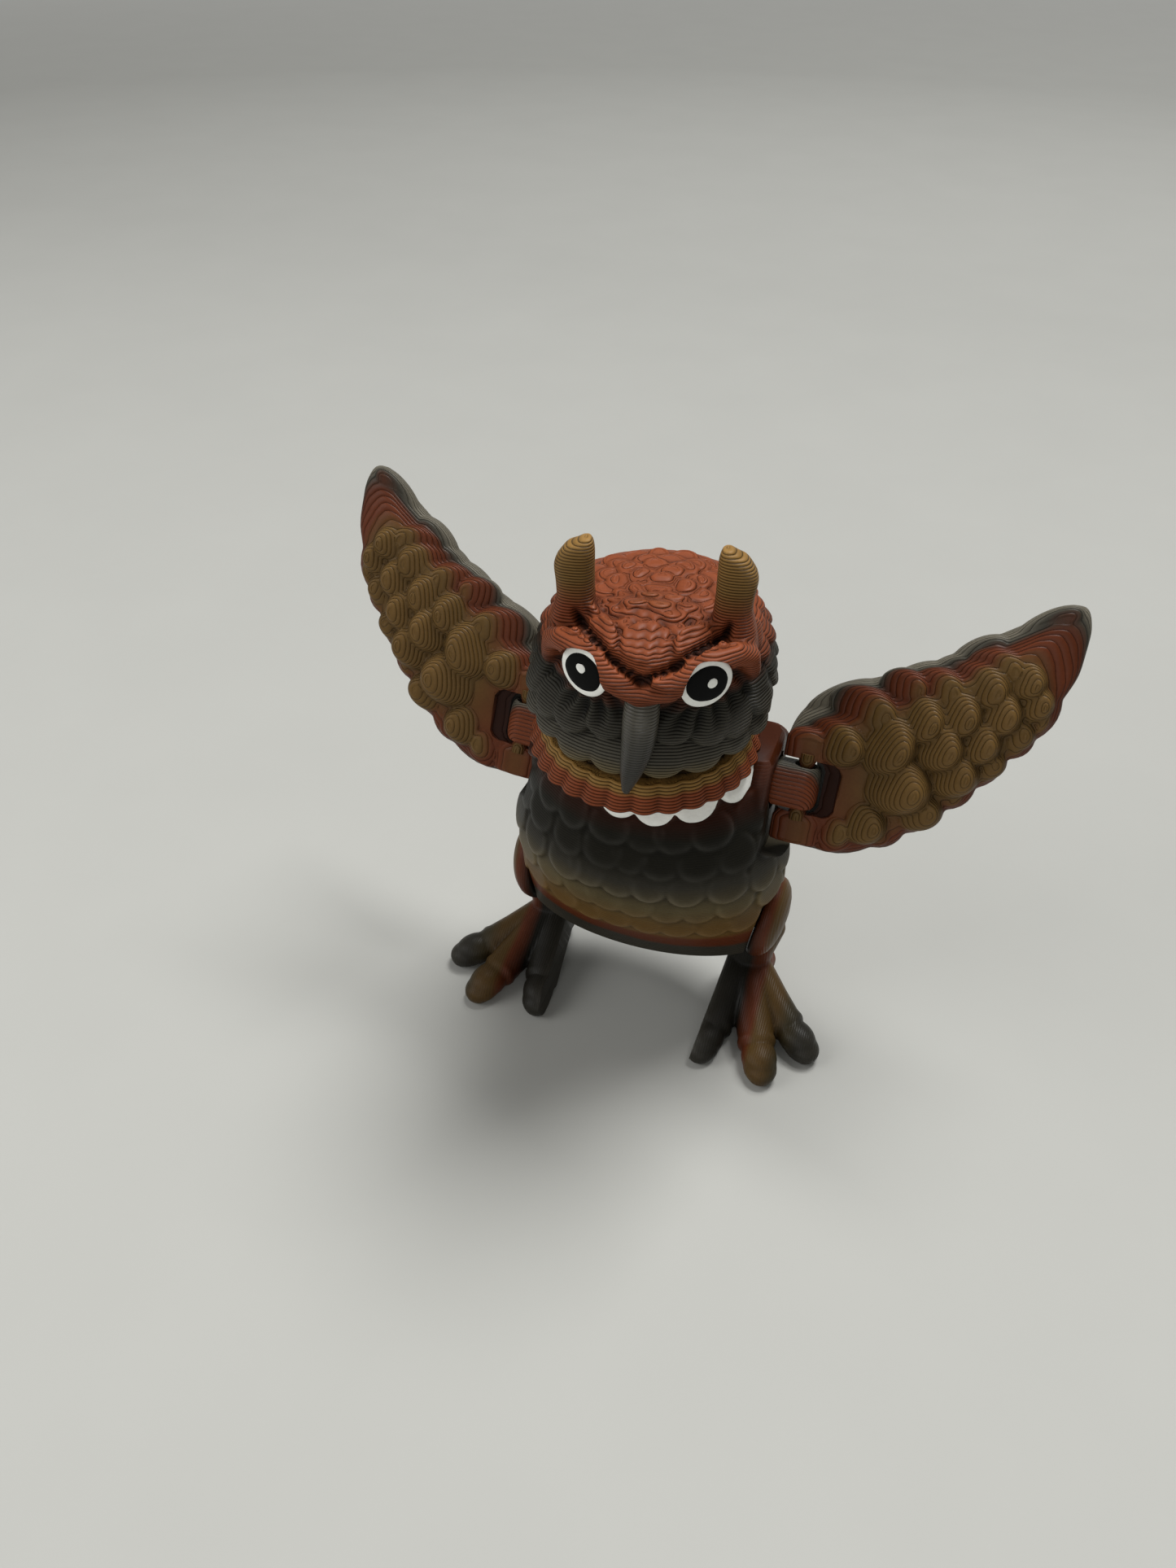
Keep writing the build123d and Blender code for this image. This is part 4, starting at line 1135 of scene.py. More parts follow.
def jowl_guides():
    """Two tiers of feathers under the eyes, whose scalloped edges hang over the collar."""
    guides = []
    for tier, radius, rise in ((LOWER_JOWL, 15.1, 2.5), (UPPER_JOWL, 15.3, 2.3)):
        for side in SIDES.values():
            for degrees, tip_height, root_height, width in tier:
                a = math.radians(degrees)
                out = Vector((side * math.sin(a), -math.cos(a), 0))
                root = HEAD_FRAME @ (out * radius + Vector((0, 0, root_height)))
                normal = HEAD_AXES @ (out + Vector((0, 0, 0.12)))
                guides.append((root, normal, -UP, width, root_height - tip_height, rise))
    return guides


def disc_rim_guides():
    """Lumps down the outer edge of the facial disc."""
    guides = []
    for side in SIDES.values():
        for degrees, height in DISC_RIM:
            a = math.radians(degrees)
            out = Vector((side * math.sin(a), -math.cos(a), 0))
            root = HEAD_FRAME @ (out * 13.6 + Vector((0, 0, height)))
            normal = HEAD_AXES @ out
            guides.append((root, normal, -UP + normal * 0.1, 4.4, 5.0, 1.7))
    return guides


def collar_guides():
    """Upright lobes round the rim."""
    count = bpy.context.scene.owl_sizes.collar_lobes
    width = 2 * math.pi * COLLAR_RADIUS / count * COLLAR_OVERLAP
    guides = []
    for angle in circle(count):
        outward = Vector((math.cos(angle), math.sin(angle), 0))
        root = HEAD_FRAME @ (outward * (13.2 + 1.1 * outward.y ** 2) + Vector((0, 0, 4.7)))
        guides.append((root, HEAD_AXES @ (outward + UP * 0.3), HEAD_AXES @ (outward * 0.3 - UP),
                       width, 8.6, 2.4))
    return guides


def lean_jowls(mesh):
    """The lower part of the head leans a little to one side, as the print does on its loose neck."""
    places, _ = read_points(mesh)
    across = np.array(HEAD_FRAME.col[0].to_3d())
    drop = np.clip(HEAD_BOTTOM + JOWL_TOP - places[:, 2], 0, None)
    write_points(mesh, places - drop[:, None] * JOWL_LEAN * across)


def sculpt_head(mesh):
    """Grooves from the tufts to the beak, flutes on the forehead, fine ridges under the eyes and the
    groove over the collar. Returns how far every vertex lies in that last groove."""
    places, normals = read_points(mesh)
    moved = np.zeros(len(places))
    local = (places - np.array(HEAD_FRAME.translation)) @ np.array(HEAD_AXES)
    fan = np.arctan2(local[:, 0], local[:, 2] - 16.0)
    wedge = (smoothstep(20.2, 21.2, local[:, 2]) * (1 - smoothstep(25.6, 26.6, local[:, 2]))
             * smoothstep(7.0, 9.0, -local[:, 1]))
    flutes = np.sin(fan * 36) * 0.6 + np.sin(fan * 23 + 1.0) * 0.4
    clear = np.ones(len(places))
    groove = np.zeros(len(places))
    for side in SIDES.values():
        near, along, gap = stroke_mask(places, mirrored(GROOVE_PATH, side), GROOVE_HALF,
                                       GROOVE_THROUGH)
        near = near * smoothstep(7.5, 9.0, -local[:, 1]) * smoothstep(19.5, 20.5, local[:, 2])
        groove = np.maximum(groove, near * (0.65 + 0.35 * np.abs(np.sin(along * 2.7))))
        clear *= smoothstep(0.8, 1.6, gap)
        seat = eye_frame(side)
        near_eye = (places - np.array(seat.translation)) @ np.array(seat.to_3x3())
        reach = np.hypot(near_eye[:, 0], near_eye[:, 1])
        turn = np.arctan2(near_eye[:, 1], near_eye[:, 0])
        ring = smoothstep(3.9, 4.6, reach) * (1 - smoothstep(6.5, 9.0, reach))
        front = smoothstep(-5.0, -3.0, near_eye[:, 2])
        under = smoothstep(0.3, -0.6, np.sin(turn))
        moved += 0.32 * np.sin(turn * 15 + reach * 0.5) * ring * front * under
    above = smoothstep(-0.5, 0.8, local[:, 2] - 20.2 - 0.62 * np.abs(local[:, 0]))
    moved += 0.1 * flutes * wedge * clear * above - GROOVE_DEPTH * groove
    # an even groove between the head and its collar
    level = local[:, 2] - NECK_GROOVE_LEVEL
    neck = 1 - smoothstep(0.4, 0.95, np.abs(level))
    radius = np.hypot(local[:, 0], local[:, 1])
    inward = neck * np.clip(radius - NECK_GROOVE_RADIUS, 0, None) / np.maximum(radius, 1)
    outward = places - np.array(HEAD_FRAME.translation)
    outward[:, 2] = 0
    lips = (1 - smoothstep(0.5, 1.5, np.abs(level))) * smoothstep(0, 1, radius - NECK_GROOVE_RADIUS)
    places = places + 0.6 * (lips * np.tanh(level / 0.3))[:, None] * np.array(UP)
    write_points(mesh, places + normals * moved[:, None] - outward * inward[:, None])
    return neck


def head_material():
    """Red and gold collar, grey cheeks, russet brow and crown, ochre tuft tips."""
    bands = ((0.0, "russet", 0.9), (1.9, "russet", 1.1), (2.5, "ochre", 1.45),
             (5.4, "ochre", 1.1), (6.6, "olive", 1.5), (8.6, "slate", 1.0),
             (12.0, "slate", 0.6), (15.8, "soot", 1.8), (17.6, "russet", 0.3),
             (19.6, "russet", 0.7), (22.5, "russet", 1.0), (26.0, "russet", 0.85),
             (29.5, "ochre", 0.95), (34.2, "ochre", 1.25))
    return filament_material("head_filament", Matrix.Translation(HEAD_FRAME.translation), bands,
                             relief=0.00026, seam_dark=0.72, edge_light=0.4, hollow_dark=0.88,
                             roughness=0.46, waver=0.35, smear=0.0012)


class OWL_OT_head(bpy.types.Operator):
    """Builds the head with its collar, facial disc, brows and ear tufts"""

    bl_idname = "owl.head"
    bl_label = "Head"

    def execute(self, context):
        sizes = context.scene.owl_sizes
        material = head_material()
        core = fuse("head_core", [head_clay().make("head_clay")], 0.45, 2)
        tree = BVHTree.FromObject(core, context.evaluated_depsgraph_get())
        shingles = head_guides(tree, sizes.nape_lift / MM, sizes.nape_width / MM)
        shingles += forehead_guides(tree) + jowl_guides()
        feathers = grow_feathers("head_feathers", shingles, SHIELD, material, narrow=0.85, root=0.1,
                                 sway=math.radians(5))
        lobes = grow_feathers("collar_lobes", collar_guides() + disc_rim_guides(), PILLOW, material,
                              narrow=1.0)
        beads = brow_beads().make("brow_beads")
        skin = fuse("head_skin", [core, feathers, lobes, beads], sizes.skin_detail / MM, 2)
        gap = sculpt_head(skin.data)
        lean_jowls(skin.data)
        # painted shade: the groove over the collar joins the hollows, which the material darkens
        mark_relief(skin, reach=5, gain=5.5, shadow=gap)
        slice_off(skin, (0, 0, HEAD_BOTTOM), -UP)
        cutters = [Clay().revolve(HEAD_FRAME, CHAMBER_PROFILE, 72).make("chamber")]
        for name, side in SIDES.items():
            seat = eye_frame(side)
            rings = [[seat @ Vector((*egg(a, side, 0.2), depth)) for a in circle(48)] for depth in (0, 4.0)]
            cutters.append(Clay().rings(rings).make(f"eye_seat_{name}"))
        boolean(skin, cutters)
        hand_over(skin, "head", "head_plastic", material, "head")
        return {"FINISHED"}


def egg(angle, side, margin=0.0, halves=EYE_HALF):
    """A point on an eye's outline, which leans outward."""
    lean = -side * EYE_LEAN
    x = (halves[0] + margin) * math.cos(angle)
    y = (halves[1] + margin) * math.sin(angle)
    return x * math.cos(lean) - y * math.sin(lean), x * math.sin(lean) + y * math.cos(lean)


def paint_disc(name, seat, side, shares, heights, wobble, seed, halves=EYE_HALF, centre=(0, 0)):
    """A domed disc of paint with a hand-drawn edge, standing on its seat."""
    chance = random.Random(seed)
    waves = [(k, chance.uniform(-1, 1) / k, chance.uniform(0, 6.28)) for k in (2, 3, 5, 8, 13, 21)]
    rings = []
    for ring_share, height in zip(shares, heights):
        ring = []
        for a in circle(72):
            grow = 1 + wobble * sum(size * math.sin(k * a + phase) for k, size, phase in waves)
            x, y = egg(a, side, 0, halves)
            ring.append(seat @ Vector((centre[0] + x * grow * ring_share,
                                       centre[1] + y * grow * ring_share, height)))
        rings.append(ring)
    return Clay().rings(rings).make(name)


class OWL_OT_eyes(bpy.types.Operator):
    """Paints the eyes: white ring, black pupil and a white glint"""

    bl_idname = "owl.eyes"
    bl_label = "Eyes"

    def execute(self, context):
        white = brushed_paint("eye_white", tinted("paint_white"), (900, 2200, 900), worn=0.15)
        black = brushed_paint("eye_black", tinted("paint_black"), (1200, 1200, 1200), depth=0.00002,
                              gloss=0.06)
        for name, side in SIDES.items():
            seat = eye_frame(side)
            ring = paint_disc(f"eye_ring_{name}", seat, side, (1.0, 1.0, 0.97, 0.9, 0.6, 0.2),
                              (-0.05, 0.16, 0.27, 0.34, 0.4, 0.42), 0.022, 11 + side)
            pupil = paint_disc(f"eye_ball_{name}", seat, side, (1.0, 1.0, 0.96, 0.8, 0.45, 0.1),
                               (0.2, 0.4, 0.46, 0.52, 0.58, 0.6), 0.045, 21 + side, PUPIL_HALF)
            glint = paint_disc(f"eye_spark_{name}", seat, side, (1.0, 1.0, 0.9, 0.5),
                               (0.4, 0.62, 0.68, 0.7), 0.12, 31 + side, GLINT_HALF, GLINTS[name])
            for obj, material, slot, node in ((ring, white, "white_paint", "eye_white"),
                                              (pupil, black, "black_paint", "eye_pupil"),
                                              (glint, white, "white_paint", "eye_glint")):
                hand_over(obj, "head", slot, material, f"{node}_{name}")
        return {"FINISHED"}


# ---------------------------------------------------------------- beak
# in the head's frame, with the half sizes across and in depth
BEAK_PATH = ((0, -14.6, 20.0), (0, -16.6, 18.6), (-0.05, -17.8, 15.8), (-0.25, -18.4, 12.2),
             (-0.8, -18.7, 8.6), (-1.45, -18.4, 5.0))
BEAK_RADII = ((1.6, 1.4), (2.1, 1.8), (2.25, 2.1), (2.05, 1.95), (1.5, 1.45), (0.6, 0.55))


def beak_material():
    """Dark glossy grey with layer lines toward the root."""
    bands = ((4.0, "slate", 0.5), (9.0, "slate", 0.3), (13.5, "slate", 0.5),
             (16.5, "slate", 0.95), (21.0, "slate", 0.8))
    return filament_material("beak_filament", Matrix.Translation(HEAD_FRAME.translation), bands,
                             relief=0.00012, seam_dark=0.5, edge_light=0.1, hollow_dark=0.4, roughness=0.3,
                             gloss=0.4)


class OWL_OT_beak(bpy.types.Operator):
    """Builds the hooked beak"""

    bl_idname = "owl.beak"
    bl_label = "Beak"

    def execute(self, context):
        rings = []
        steps = 30
        rows = [(i / (len(BEAK_PATH) - 1), *point, *radii)
                for i, (point, radii) in enumerate(zip(BEAK_PATH, BEAK_RADII))]
        for step in range(steps + 1):
            x, y, z, across, deep = smooth_row(rows, step / steps)
            rings.append([HEAD_FRAME @ Vector((x + across * math.cos(a), y + deep * math.sin(a), z))
                          for a in circle(32)])
        clay = Clay().rings(rings)
        clay.ball(HEAD_FRAME @ Vector(BEAK_PATH[-1]), (0.55, 0.5, 0.6))
        skin = fuse("beak_skin", [clay.make("beak_clay")], 0.16, 3)
        mark_relief(skin)
        hand_over(skin, "head", "head_plastic", beak_material())
        return {"FINISHED"}


# ---------------------------------------------------------------- wings
# outline in the wing's frame: across from the hinge axis, and along it
WING_LEADING = ((-3.5, 3.0), (-3.5, 7.2), (-1.4, 11.4), (3.8, 15.4), (12.0, 19.4), (20.8, 25.5),
                (29.2, 31.4))
WING_TIP = ((29.2, 31.4), (31.2, 31.2), (32.2, 28.9), (32.3, 26.0), (32.1, 22.5), (31.0, 19.2))
WING_SCALLOPS = ((31.0, 19.2), (29.0, 13.2), (26.2, 9.9), (23.1, 4.8), (19.9, 0.8), (15.2, -4.0),
                 (11.0, -7.2), (3.2, -9.4))
WING_LOWER = ((3.2, -9.4), (0.8, -9.3), (-1.6, -7.9), (-3.5, -5.0), (-3.5, 3.0))
WING_MIDDLE = Vector((14.0, 8.0))
WING_BACK = -3.5
# shrink toward the middle, and height over the hinge axis, of the bare wing's contour rings
WING_RINGS = ((0.94, -3.5), (0.985, -3.35), (1.0, -2.9), (1.0, -1.2), (0.99, -0.75), (0.965, -0.4),
              (0.93, -0.1), (0.87, 0.15), (0.81, 0.35), (0.73, 0.5), (0.6, 0.65), (0.42, 0.85),
              (0.2, 1.0), (0.02, 1.1))
# feathers: middle across and along, length, width, height of the crest, heading in degrees from outward
WING_FEATHERS = (
    (3.0, 7.3, 10.0, 7.4, 2.1, -8), (6.3, 12.8, 10.5, 7.0, 1.3, -8), (9.4, 8.9, 10.5, 10.2, 3.0, -20),
    (13.2, 13.2, 8.6, 7.8, 2.4, -14), (17.5, 14.9, 9.0, 8.0, 2.4, -12), (10.8, 17.0, 7.0, 5.2, 0.7, 0),
    (15.0, 17.3, 8.4, 6.8, 1.1, 2), (20.3, 19.2, 8.4, 6.8, 1.8, -10), (21.8, 21.7, 8.4, 6.0, 0.9, 5),
    (25.2, 21.1, 7.0, 5.8, 1.7, -10), (26.8, 18.3, 7.0, 5.8, 1.6, -2), (22.6, 16.2, 8.4, 7.4, 2.3, -10),
    (16.0, 10.2, 9.6, 8.4, 3.1, -14), (20.8, 11.8, 8.6, 7.6, 2.6, -10), (25.2, 13.4, 7.6, 5.8, 1.1, 12),
    (11.4, 3.7, 13.0, 10.0, 3.5, -12), (18.4, 6.7, 10.0, 8.2, 2.7, -4), (22.2, 8.3, 8.6, 5.6, 1.3, 18),
    (8.2, -3.2, 9.6, 7.6, 2.2, -8), (14.9, 0.0, 10.0, 7.0, 1.8, 6), (4.4, -5.4, 8.0, 6.4, 1.2, -6))
# long lobes along the leading edge, stepped at their outer ends
WING_COVERTS = ((3.4, 12.8, 12.8, 5.6, -0.6, 31), (12.5, 17.8, 9.8, 5.0, -0.6, 29),
                (19.5, 22.7, 9.2, 5.0, -0.6, 36), (26.8, 28.0, 10.4, 4.2, -0.8, 38),
                (7.4, 14.8, 9.0, 4.4, -0.3, 27), (16.2, 20.0, 7.6, 4.2, -0.4, 32))
RIM_CREST = 1.0
NOTCH_HALF = 4.0
# the notch: height over the hinge axis, growth of its sides, and depth; the back follows the link's nose
NOTCH_ROWS = ((-4.5, 0.0, 1.0), (-3.5, 0.0, 1.05), (-2.9, 0.0, 1.3), (-2.0, 0.0, 1.9), (-1.2, 0.0, 2.4),
              (-0.5, 0.0, 2.65), (-0.2, 0.0, 2.75), (0.1, 0.0, 4.8), (0.7, 0.1, 5.1), (1.2, 0.4, 6.0),
              (1.7, 0.9, 7.8), (5.0, 2.6, 12.0))
HINGE_RADIUS = 3.5
KNUCKLE_CREST = 0.85         # height of the knuckles over the hinge axis
NOTCH_CORNER = 1.3
CONE_PROFILE = ((0, -0.4), (1.3, -0.4), (1.3, 0.6), (0.5, 2.9), (0, 2.9))


def arc_between(points, bulge):
    """Scallops from corner to corner, bulging to the left of the run."""
    steps = 5
    result = []
    for start, end in zip(points, points[1:]):
        start, end = Vector(start), Vector(end)
        run = end - start
        outward = Vector((-run.y, run.x)).normalized()
        for i in range(steps):
            t = i / steps
            result.append(start + run * t + outward * bulge * 4 * t * (1 - t))
    return result


def smooth_path(points):
    """A smooth curve through the points, without the last one."""
    steps = 6
    rows = [(i, *point) for i, point in enumerate(points)]
    return [Vector(smooth_row(rows, i / steps)) for i in range(steps * (len(points) - 1))]


def wing_outline():
    """Outline points, each with its share of the leading edge, 0 to 1."""
    leading = smooth_path(WING_LEADING)
    tip = smooth_path(WING_TIP)
    scallops = arc_between(WING_SCALLOPS, 0.9)
    lower = smooth_path(WING_LOWER)
    shares = [min(1.0, max(0.0, (point.y - 6) / 6)) for point in leading]
    shares += [1 - i / len(tip) for i in range(len(tip))]
    shares += [0.0] * (len(scallops) + len(lower))
    return leading + tip + scallops + lower, shares


def wing_clay():
    """The bare wing in its own frame, with knuckles round the hinge axis."""
    outline, leading = wing_outline()
    clay = Clay()
    rings = []
    for share, height in WING_RINGS:
        ring = []
        for point, front in zip(outline, leading):
            spot = WING_MIDDLE + (point - WING_MIDDLE) * share
            # the face falls toward the leading edge
            drop = front * 1.5 * max(0.0, min(1.0, (share - 0.62) / 0.3)) if height > -3 else 0
            ring.append((spot.x, spot.y, max(height - drop, WING_BACK + 0.25 * (height > -3.4))))
        rings.append(ring)
    clay.rings(rings)
    for low, high in ((NOTCH_HALF - 0.5, 8.6), (-8.8, 0.5 - NOTCH_HALF)):
        rings = []
        for along, share in ((low, 0.93), (low + 0.4, 1.0), (high - 1.6, 1.0), (high - 0.5, 0.8),
                             (high, 0.4)):
            rings.append([(HINGE_RADIUS * share * math.cos(a), along,
                           share * math.sin(a) * (KNUCKLE_CREST if math.sin(a) > 0 else HINGE_RADIUS))
                          for a in circle(40)])
        clay.rings(rings)
    return clay


def wing_guides(rows, depth, gain=1.0):
    """Feather guides in the wing's frame, each rising from a root sunk below the hinge axis."""
    guides = []
    for across, along, length, width, crest, heading in rows:
        a = math.radians(heading)
        tip = Vector((math.cos(a), math.sin(a), 0))
        root = Vector((across, along, -depth)) - tip * length / 2
        guides.append((root, (0, 0, 1), tip, width, length, (crest + depth) * gain))
    return guides


def rim_rows():
    """One low feather behind every scallop of the trailing edge."""
    rows = []
    for start, end in zip(WING_SCALLOPS, WING_SCALLOPS[1:]):
        start, end = Vector(start), Vector(end)
        run = end - start
        outward = Vector((-run.y, run.x)).normalized()
        heading = (outward - run.normalized() * 0.25).normalized()
        middle = (start + end) / 2 + outward * 0.35 - heading * 2.9
        rows.append((middle.x, middle.y, 5.8, run.length * 1.02, RIM_CREST,
                     math.degrees(math.atan2(heading.y, heading.x))))
    return rows


def wing_cutters():
    """The notch, which flares toward the face, and all that stands outside the round hinge end."""
    rings = []
    for height, grow, deep in NOTCH_ROWS:
        half = NOTCH_HALF + grow
        side = half - NOTCH_CORNER
        cut = 0.38 * NOTCH_CORNER
        corner = [(deep - NOTCH_CORNER, half), (deep - cut, half - cut * 0.8), (deep, side)]
        ring = [(-8, -half)] + [(x, -y) for x, y in corner] + corner[::-1] + [(-8, half)]
        rings.append([(x, y, height) for x, y in ring])
    notch = Clay().rings(rings).make("notch")
    # painted shade: the notch's walls are marked as hollows, which the wing's material darkens
    shadow = notch.data.attributes.new("hollow", "FLOAT", "POINT")
    shadow.data.foreach_set("value", [1.0] * len(notch.data.vertices))
    arc = [(-HINGE_RADIUS * math.sin(a), math.cos(a) * (KNUCKLE_CREST if math.cos(a) > 0 else HINGE_RADIUS))
           for a in (math.pi * i / 24 for i in range(25))]
    ring = [(0.0, 6.0), (-6.0, 6.0), (-6.0, -6.0), (0.0, -6.0)] + arc[::-1]
    outside = Clay().rings([[(x, along, z) for x, z in ring] for along in (-14.0, 22.0)])
    return [notch, outside.make("outside")]


def on_hinge(name, offset, profile):
    """Two round shells along the hinge axis, facing away from each other."""
    shells = []
    for way in (1, -1):
        turn = Matrix.Rotation(math.radians(90 * way), 4, "X")
        seat = Matrix.Translation((0, way * offset, 0)) @ turn
        shells.append(Clay().revolve(seat, profile, 40).make(name))
    return shells


def wing_material(name):
    """Grey back and leading edge, red slopes and gold feathers, by height from the flat back."""
    plate = wing_frame(name) @ Matrix.Translation((0, 0, WING_BACK))
    if name == "right":
        plate = plate @ Matrix.Diagonal((-1, 1, 1, 1))
    bands = ((0.0, "slate", 1.9), (2.5, "slate", 1.9), (3.0, "slate", 0.6),
             (3.4, "russet", 0.36), (4.0, "russet", 0.5), (4.15, "russet", 0.48),
             (4.7, "ochre", 0.6), (7.2, "ochre", 0.72))
    lean = 0.03 * SIDES[name]
    return filament_material(f"wing_filament_{name}", plate, bands, relief=0.00016, seam_dark=0.62,
                             edge_light=0.25, hollow_dark=0.75, waver=0.5, smear=0.0005, lean=lean,
                             layer=bpy.context.scene.owl_sizes.wing_layer)


class OWL_OT_wings(bpy.types.Operator):
    """Builds both wings with their feathers, hinge notch and pivot cones"""

    bl_idname = "owl.wings"
    bl_label = "Wings"

    def execute(self, context):
        sizes = context.scene.owl_sizes
        for name, side in SIDES.items():
            material = wing_material(name)
            guides = wing_guides(WING_FEATHERS, 0.8, 1.32) + wing_guides(rim_rows(), 1.0)
            feathers = grow_feathers(f"feathers_{name}", guides, SHIELD, material, narrow=0.9, root=0.0)
            coverts = grow_feathers(f"coverts_{name}", wing_guides(WING_COVERTS, 2.2), SHIELD, material,
                                    narrow=0.9, root=0.4)
            skin = fuse(f"wing_skin_{name}", [wing_clay().make("wing_clay"), feathers, coverts],
                        sizes.skin_detail / MM * 0.9, 2)
            slice_off(skin, (0, 0, WING_BACK), -UP)
            mark_relief(skin, reach=5, gain=4.0)
            boolean(skin, wing_cutters())
            boolean(skin, on_hinge("pivot_cone", NOTCH_HALF + 0.6, CONE_PROFILE), "UNION")
            skin.data.transform(wing_frame(name))
            if side < 0:
                skin.data.flip_normals()
            hand_over(skin, f"wing_{name}", "wing_plastic", material, f"wing_{name}")
        return {"FINISHED"}


# ---------------------------------------------------------------- shoulder links
LINK_PLATE_TILT = math.radians(38)      # the link was printed on its side, so its layers cross the tab
# along the hinge axis, and how much the tab shrinks there
LINK_ROWS = ((-3.2, -0.75), (-3.0, -0.42), (-2.6, -0.2), (-1.8, -0.05), (0.0, 0.0), (1.8, -0.05),
             (2.6, -0.2), (3.0, -0.42), (3.2, -0.75))
LINK_LENGTH = 4.4
LINK_HALF = 2.4
DIMPLE_PROFILE = ((0, 0), (2.1, 0), (0.8, 2.6), (0, 2.6))
SHAFT_PROFILE = ((0, -5.9), (2.8, -5.9), (3.1, -5.6), (3.1, -4.0), (2.8, -3.7), (2.2, -3.7), (2.2, 0.6),
                 (0, 0.6))


class OWL_OT_links(bpy.types.Operator):
    """Builds the links that hold the wings to the torso"""

    bl_idname = "owl.links"
    bl_label = "Shoulder Links"

    def execute(self, context):
        bands = ((0.0, "slate", 0.9), (1.5, "slate", 0.7), (2.2, "russet", 0.5), (3.2, "russet", 0.7),
                 (5.6, "russet", 0.7))
        bend = [math.pi * i / 16 for i in range(1, 16)]
        for name, side in SIDES.items():
            wing = wing_frame(name)
            flip = Matrix.Diagonal((side, 1, 1, 1))
            plate = (wing @ flip @ Matrix.Rotation(LINK_PLATE_TILT, 4, "X")
                     @ Matrix.Translation((0, 0, -1.8)))
            material = filament_material(f"link_filament_{name}", plate, bands, relief=0.00016,
                                         seam_dark=0.7, edge_light=0.2, hollow_dark=0.5, roughness=0.4,
                                         waver=0.6)
            rings = []
            for along, grow in LINK_ROWS:
                half, inner = LINK_HALF + grow, -LINK_LENGTH - grow
                ring = [(inner, -half), (0.0, -half)]
                ring += [(half * math.sin(a), -half * math.cos(a)) for a in bend]
                ring += [(0.0, half), (inner, half)]
                rings.append([(across, along, out) for across, out in ring])
            skin = fuse(f"link_skin_{name}", [Clay().rings(rings).make("tab_clay")], 0.2, 2)
            mark_relief(skin)
            boolean(skin, on_hinge("dimple", NOTCH_HALF, DIMPLE_PROFILE))
            skin.data.transform(wing)
            if side < 0:
                skin.data.flip_normals()
            boolean(skin, [Clay().revolve(socket_frame(name), SHAFT_PROFILE).make("shaft")], "UNION")
            hand_over(skin, f"shoulder_link_{name}", "link_plastic", material, f"shoulder_link_{name}")
        return {"FINISHED"}


# ---------------------------------------------------------------- legs
ANKLE = Vector((16.6, 3.0, 6.8))
TOE_TIPS = ((13.7, -14.2), (24.1, -15.0), (29.9, -8.4), (18.6, 9.6))
FOOT_INNER = 1.8             # the foot is flat this far inside the hip's flat
# claws: distance back from the tip, rise, half sizes across, along and up, and roundness
CLAW_BALLS = ((3.0, 0.9, (2.8, 3.6, 2.5), 28), (1.6, 0.25, (2.65, 3.2, 1.9), 28),
              (0.6, -0.2, (2.15, 2.1, 1.45), 24))
HAUNCH_PROFILE = ((0, 0.3), (6.3, 0.3), (6.7, 0.8), (6.75, 1.5), (6.4, 2.5), (5.4, 3.4), (4.0, 4.0),
                  (2.0, 4.4), (0, 4.5))
CLEARANCE_PROFILE = ((0, -3.0), (8.0, -3.0), (8.0, 0.3), (0, 0.3))
PEG_PROFILE = ((0, -6.4), (2.9, -6.4), (3.3, -6.0), (3.3, -4.6), (3.0, -4.2), (2.4, -4.2),
               (2.4, 0.8), (0, 0.8))


def leg_clay(side):
    """Haunch, shank, and four toes whose claws swell out of a cuff."""
    def at(x, y, z):
        return Vector((MIDDLE.x + side * x, MIDDLE.y + y, z))

    hip = hip_frame("left" if side > 0 else "right")
    clay = Clay()
    clay.revolve(hip, HAUNCH_PROFILE, 64)
    ankle = at(*ANKLE)
    shank_top = hip @ Vector((1.2, 0, 0)) - UP * 3.4 + hip.col[2].to_3d() * 2.2
    clay.limb((shank_top, (shank_top + ankle) / 2, ankle), (2.3, 2.9, 3.9))
    for tip_x, tip_y in TOE_TIPS:
        tip = at(tip_x, tip_y, 1.45)
        way = tip - ankle
        way.z = 0
        way.normalize()
        cuff = tip - way * 5.4
        cuff.z = 2.6
        middle = ankle.lerp(cuff, 0.62) - UP * 0.2
        clay.limb((ankle, middle, cuff - way * 0.5), (3.5, 3.0, 2.85))
        turn = way.to_track_quat("Y", "Z").to_matrix().to_4x4()
        clay.ball(cuff - way * 0.3, (3.1, 1.8, 2.85), turn, 28)
        for back, rise, halves, segments in CLAW_BALLS:
            clay.ball(tip - way * back + UP * rise, halves, turn, segments)
    return clay


def leg_material(name):
    """Grey inner toe, then red, gold and grey-brown toward the outer toe."""
    side = SIDES[name]
    plate = basis(Vector((MIDDLE.x + side * 12.4, 0, 0)), Vector((0, side, 0)), UP, Vector((side, 0, 0)))
    bands = ((0.0, "slate", 0.35), (3.0, "slate", 0.2), (5.6, "soot", 0.8),
             (6.6, "russet", 0.22), (8.0, "russet", 0.4), (8.9, "ochre", 0.4),
             (11.4, "ochre", 0.32), (13.2, "olive", 0.4), (15.5, "slate", 0.26),
             (19.0, "slate", 0.34))
    return filament_material(f"leg_filament_{name}", plate, bands, relief=0.00004, seam_dark=0.15,
                             edge_light=0.3, hollow_dark=0.6, roughness=0.4, smear=0.0015)


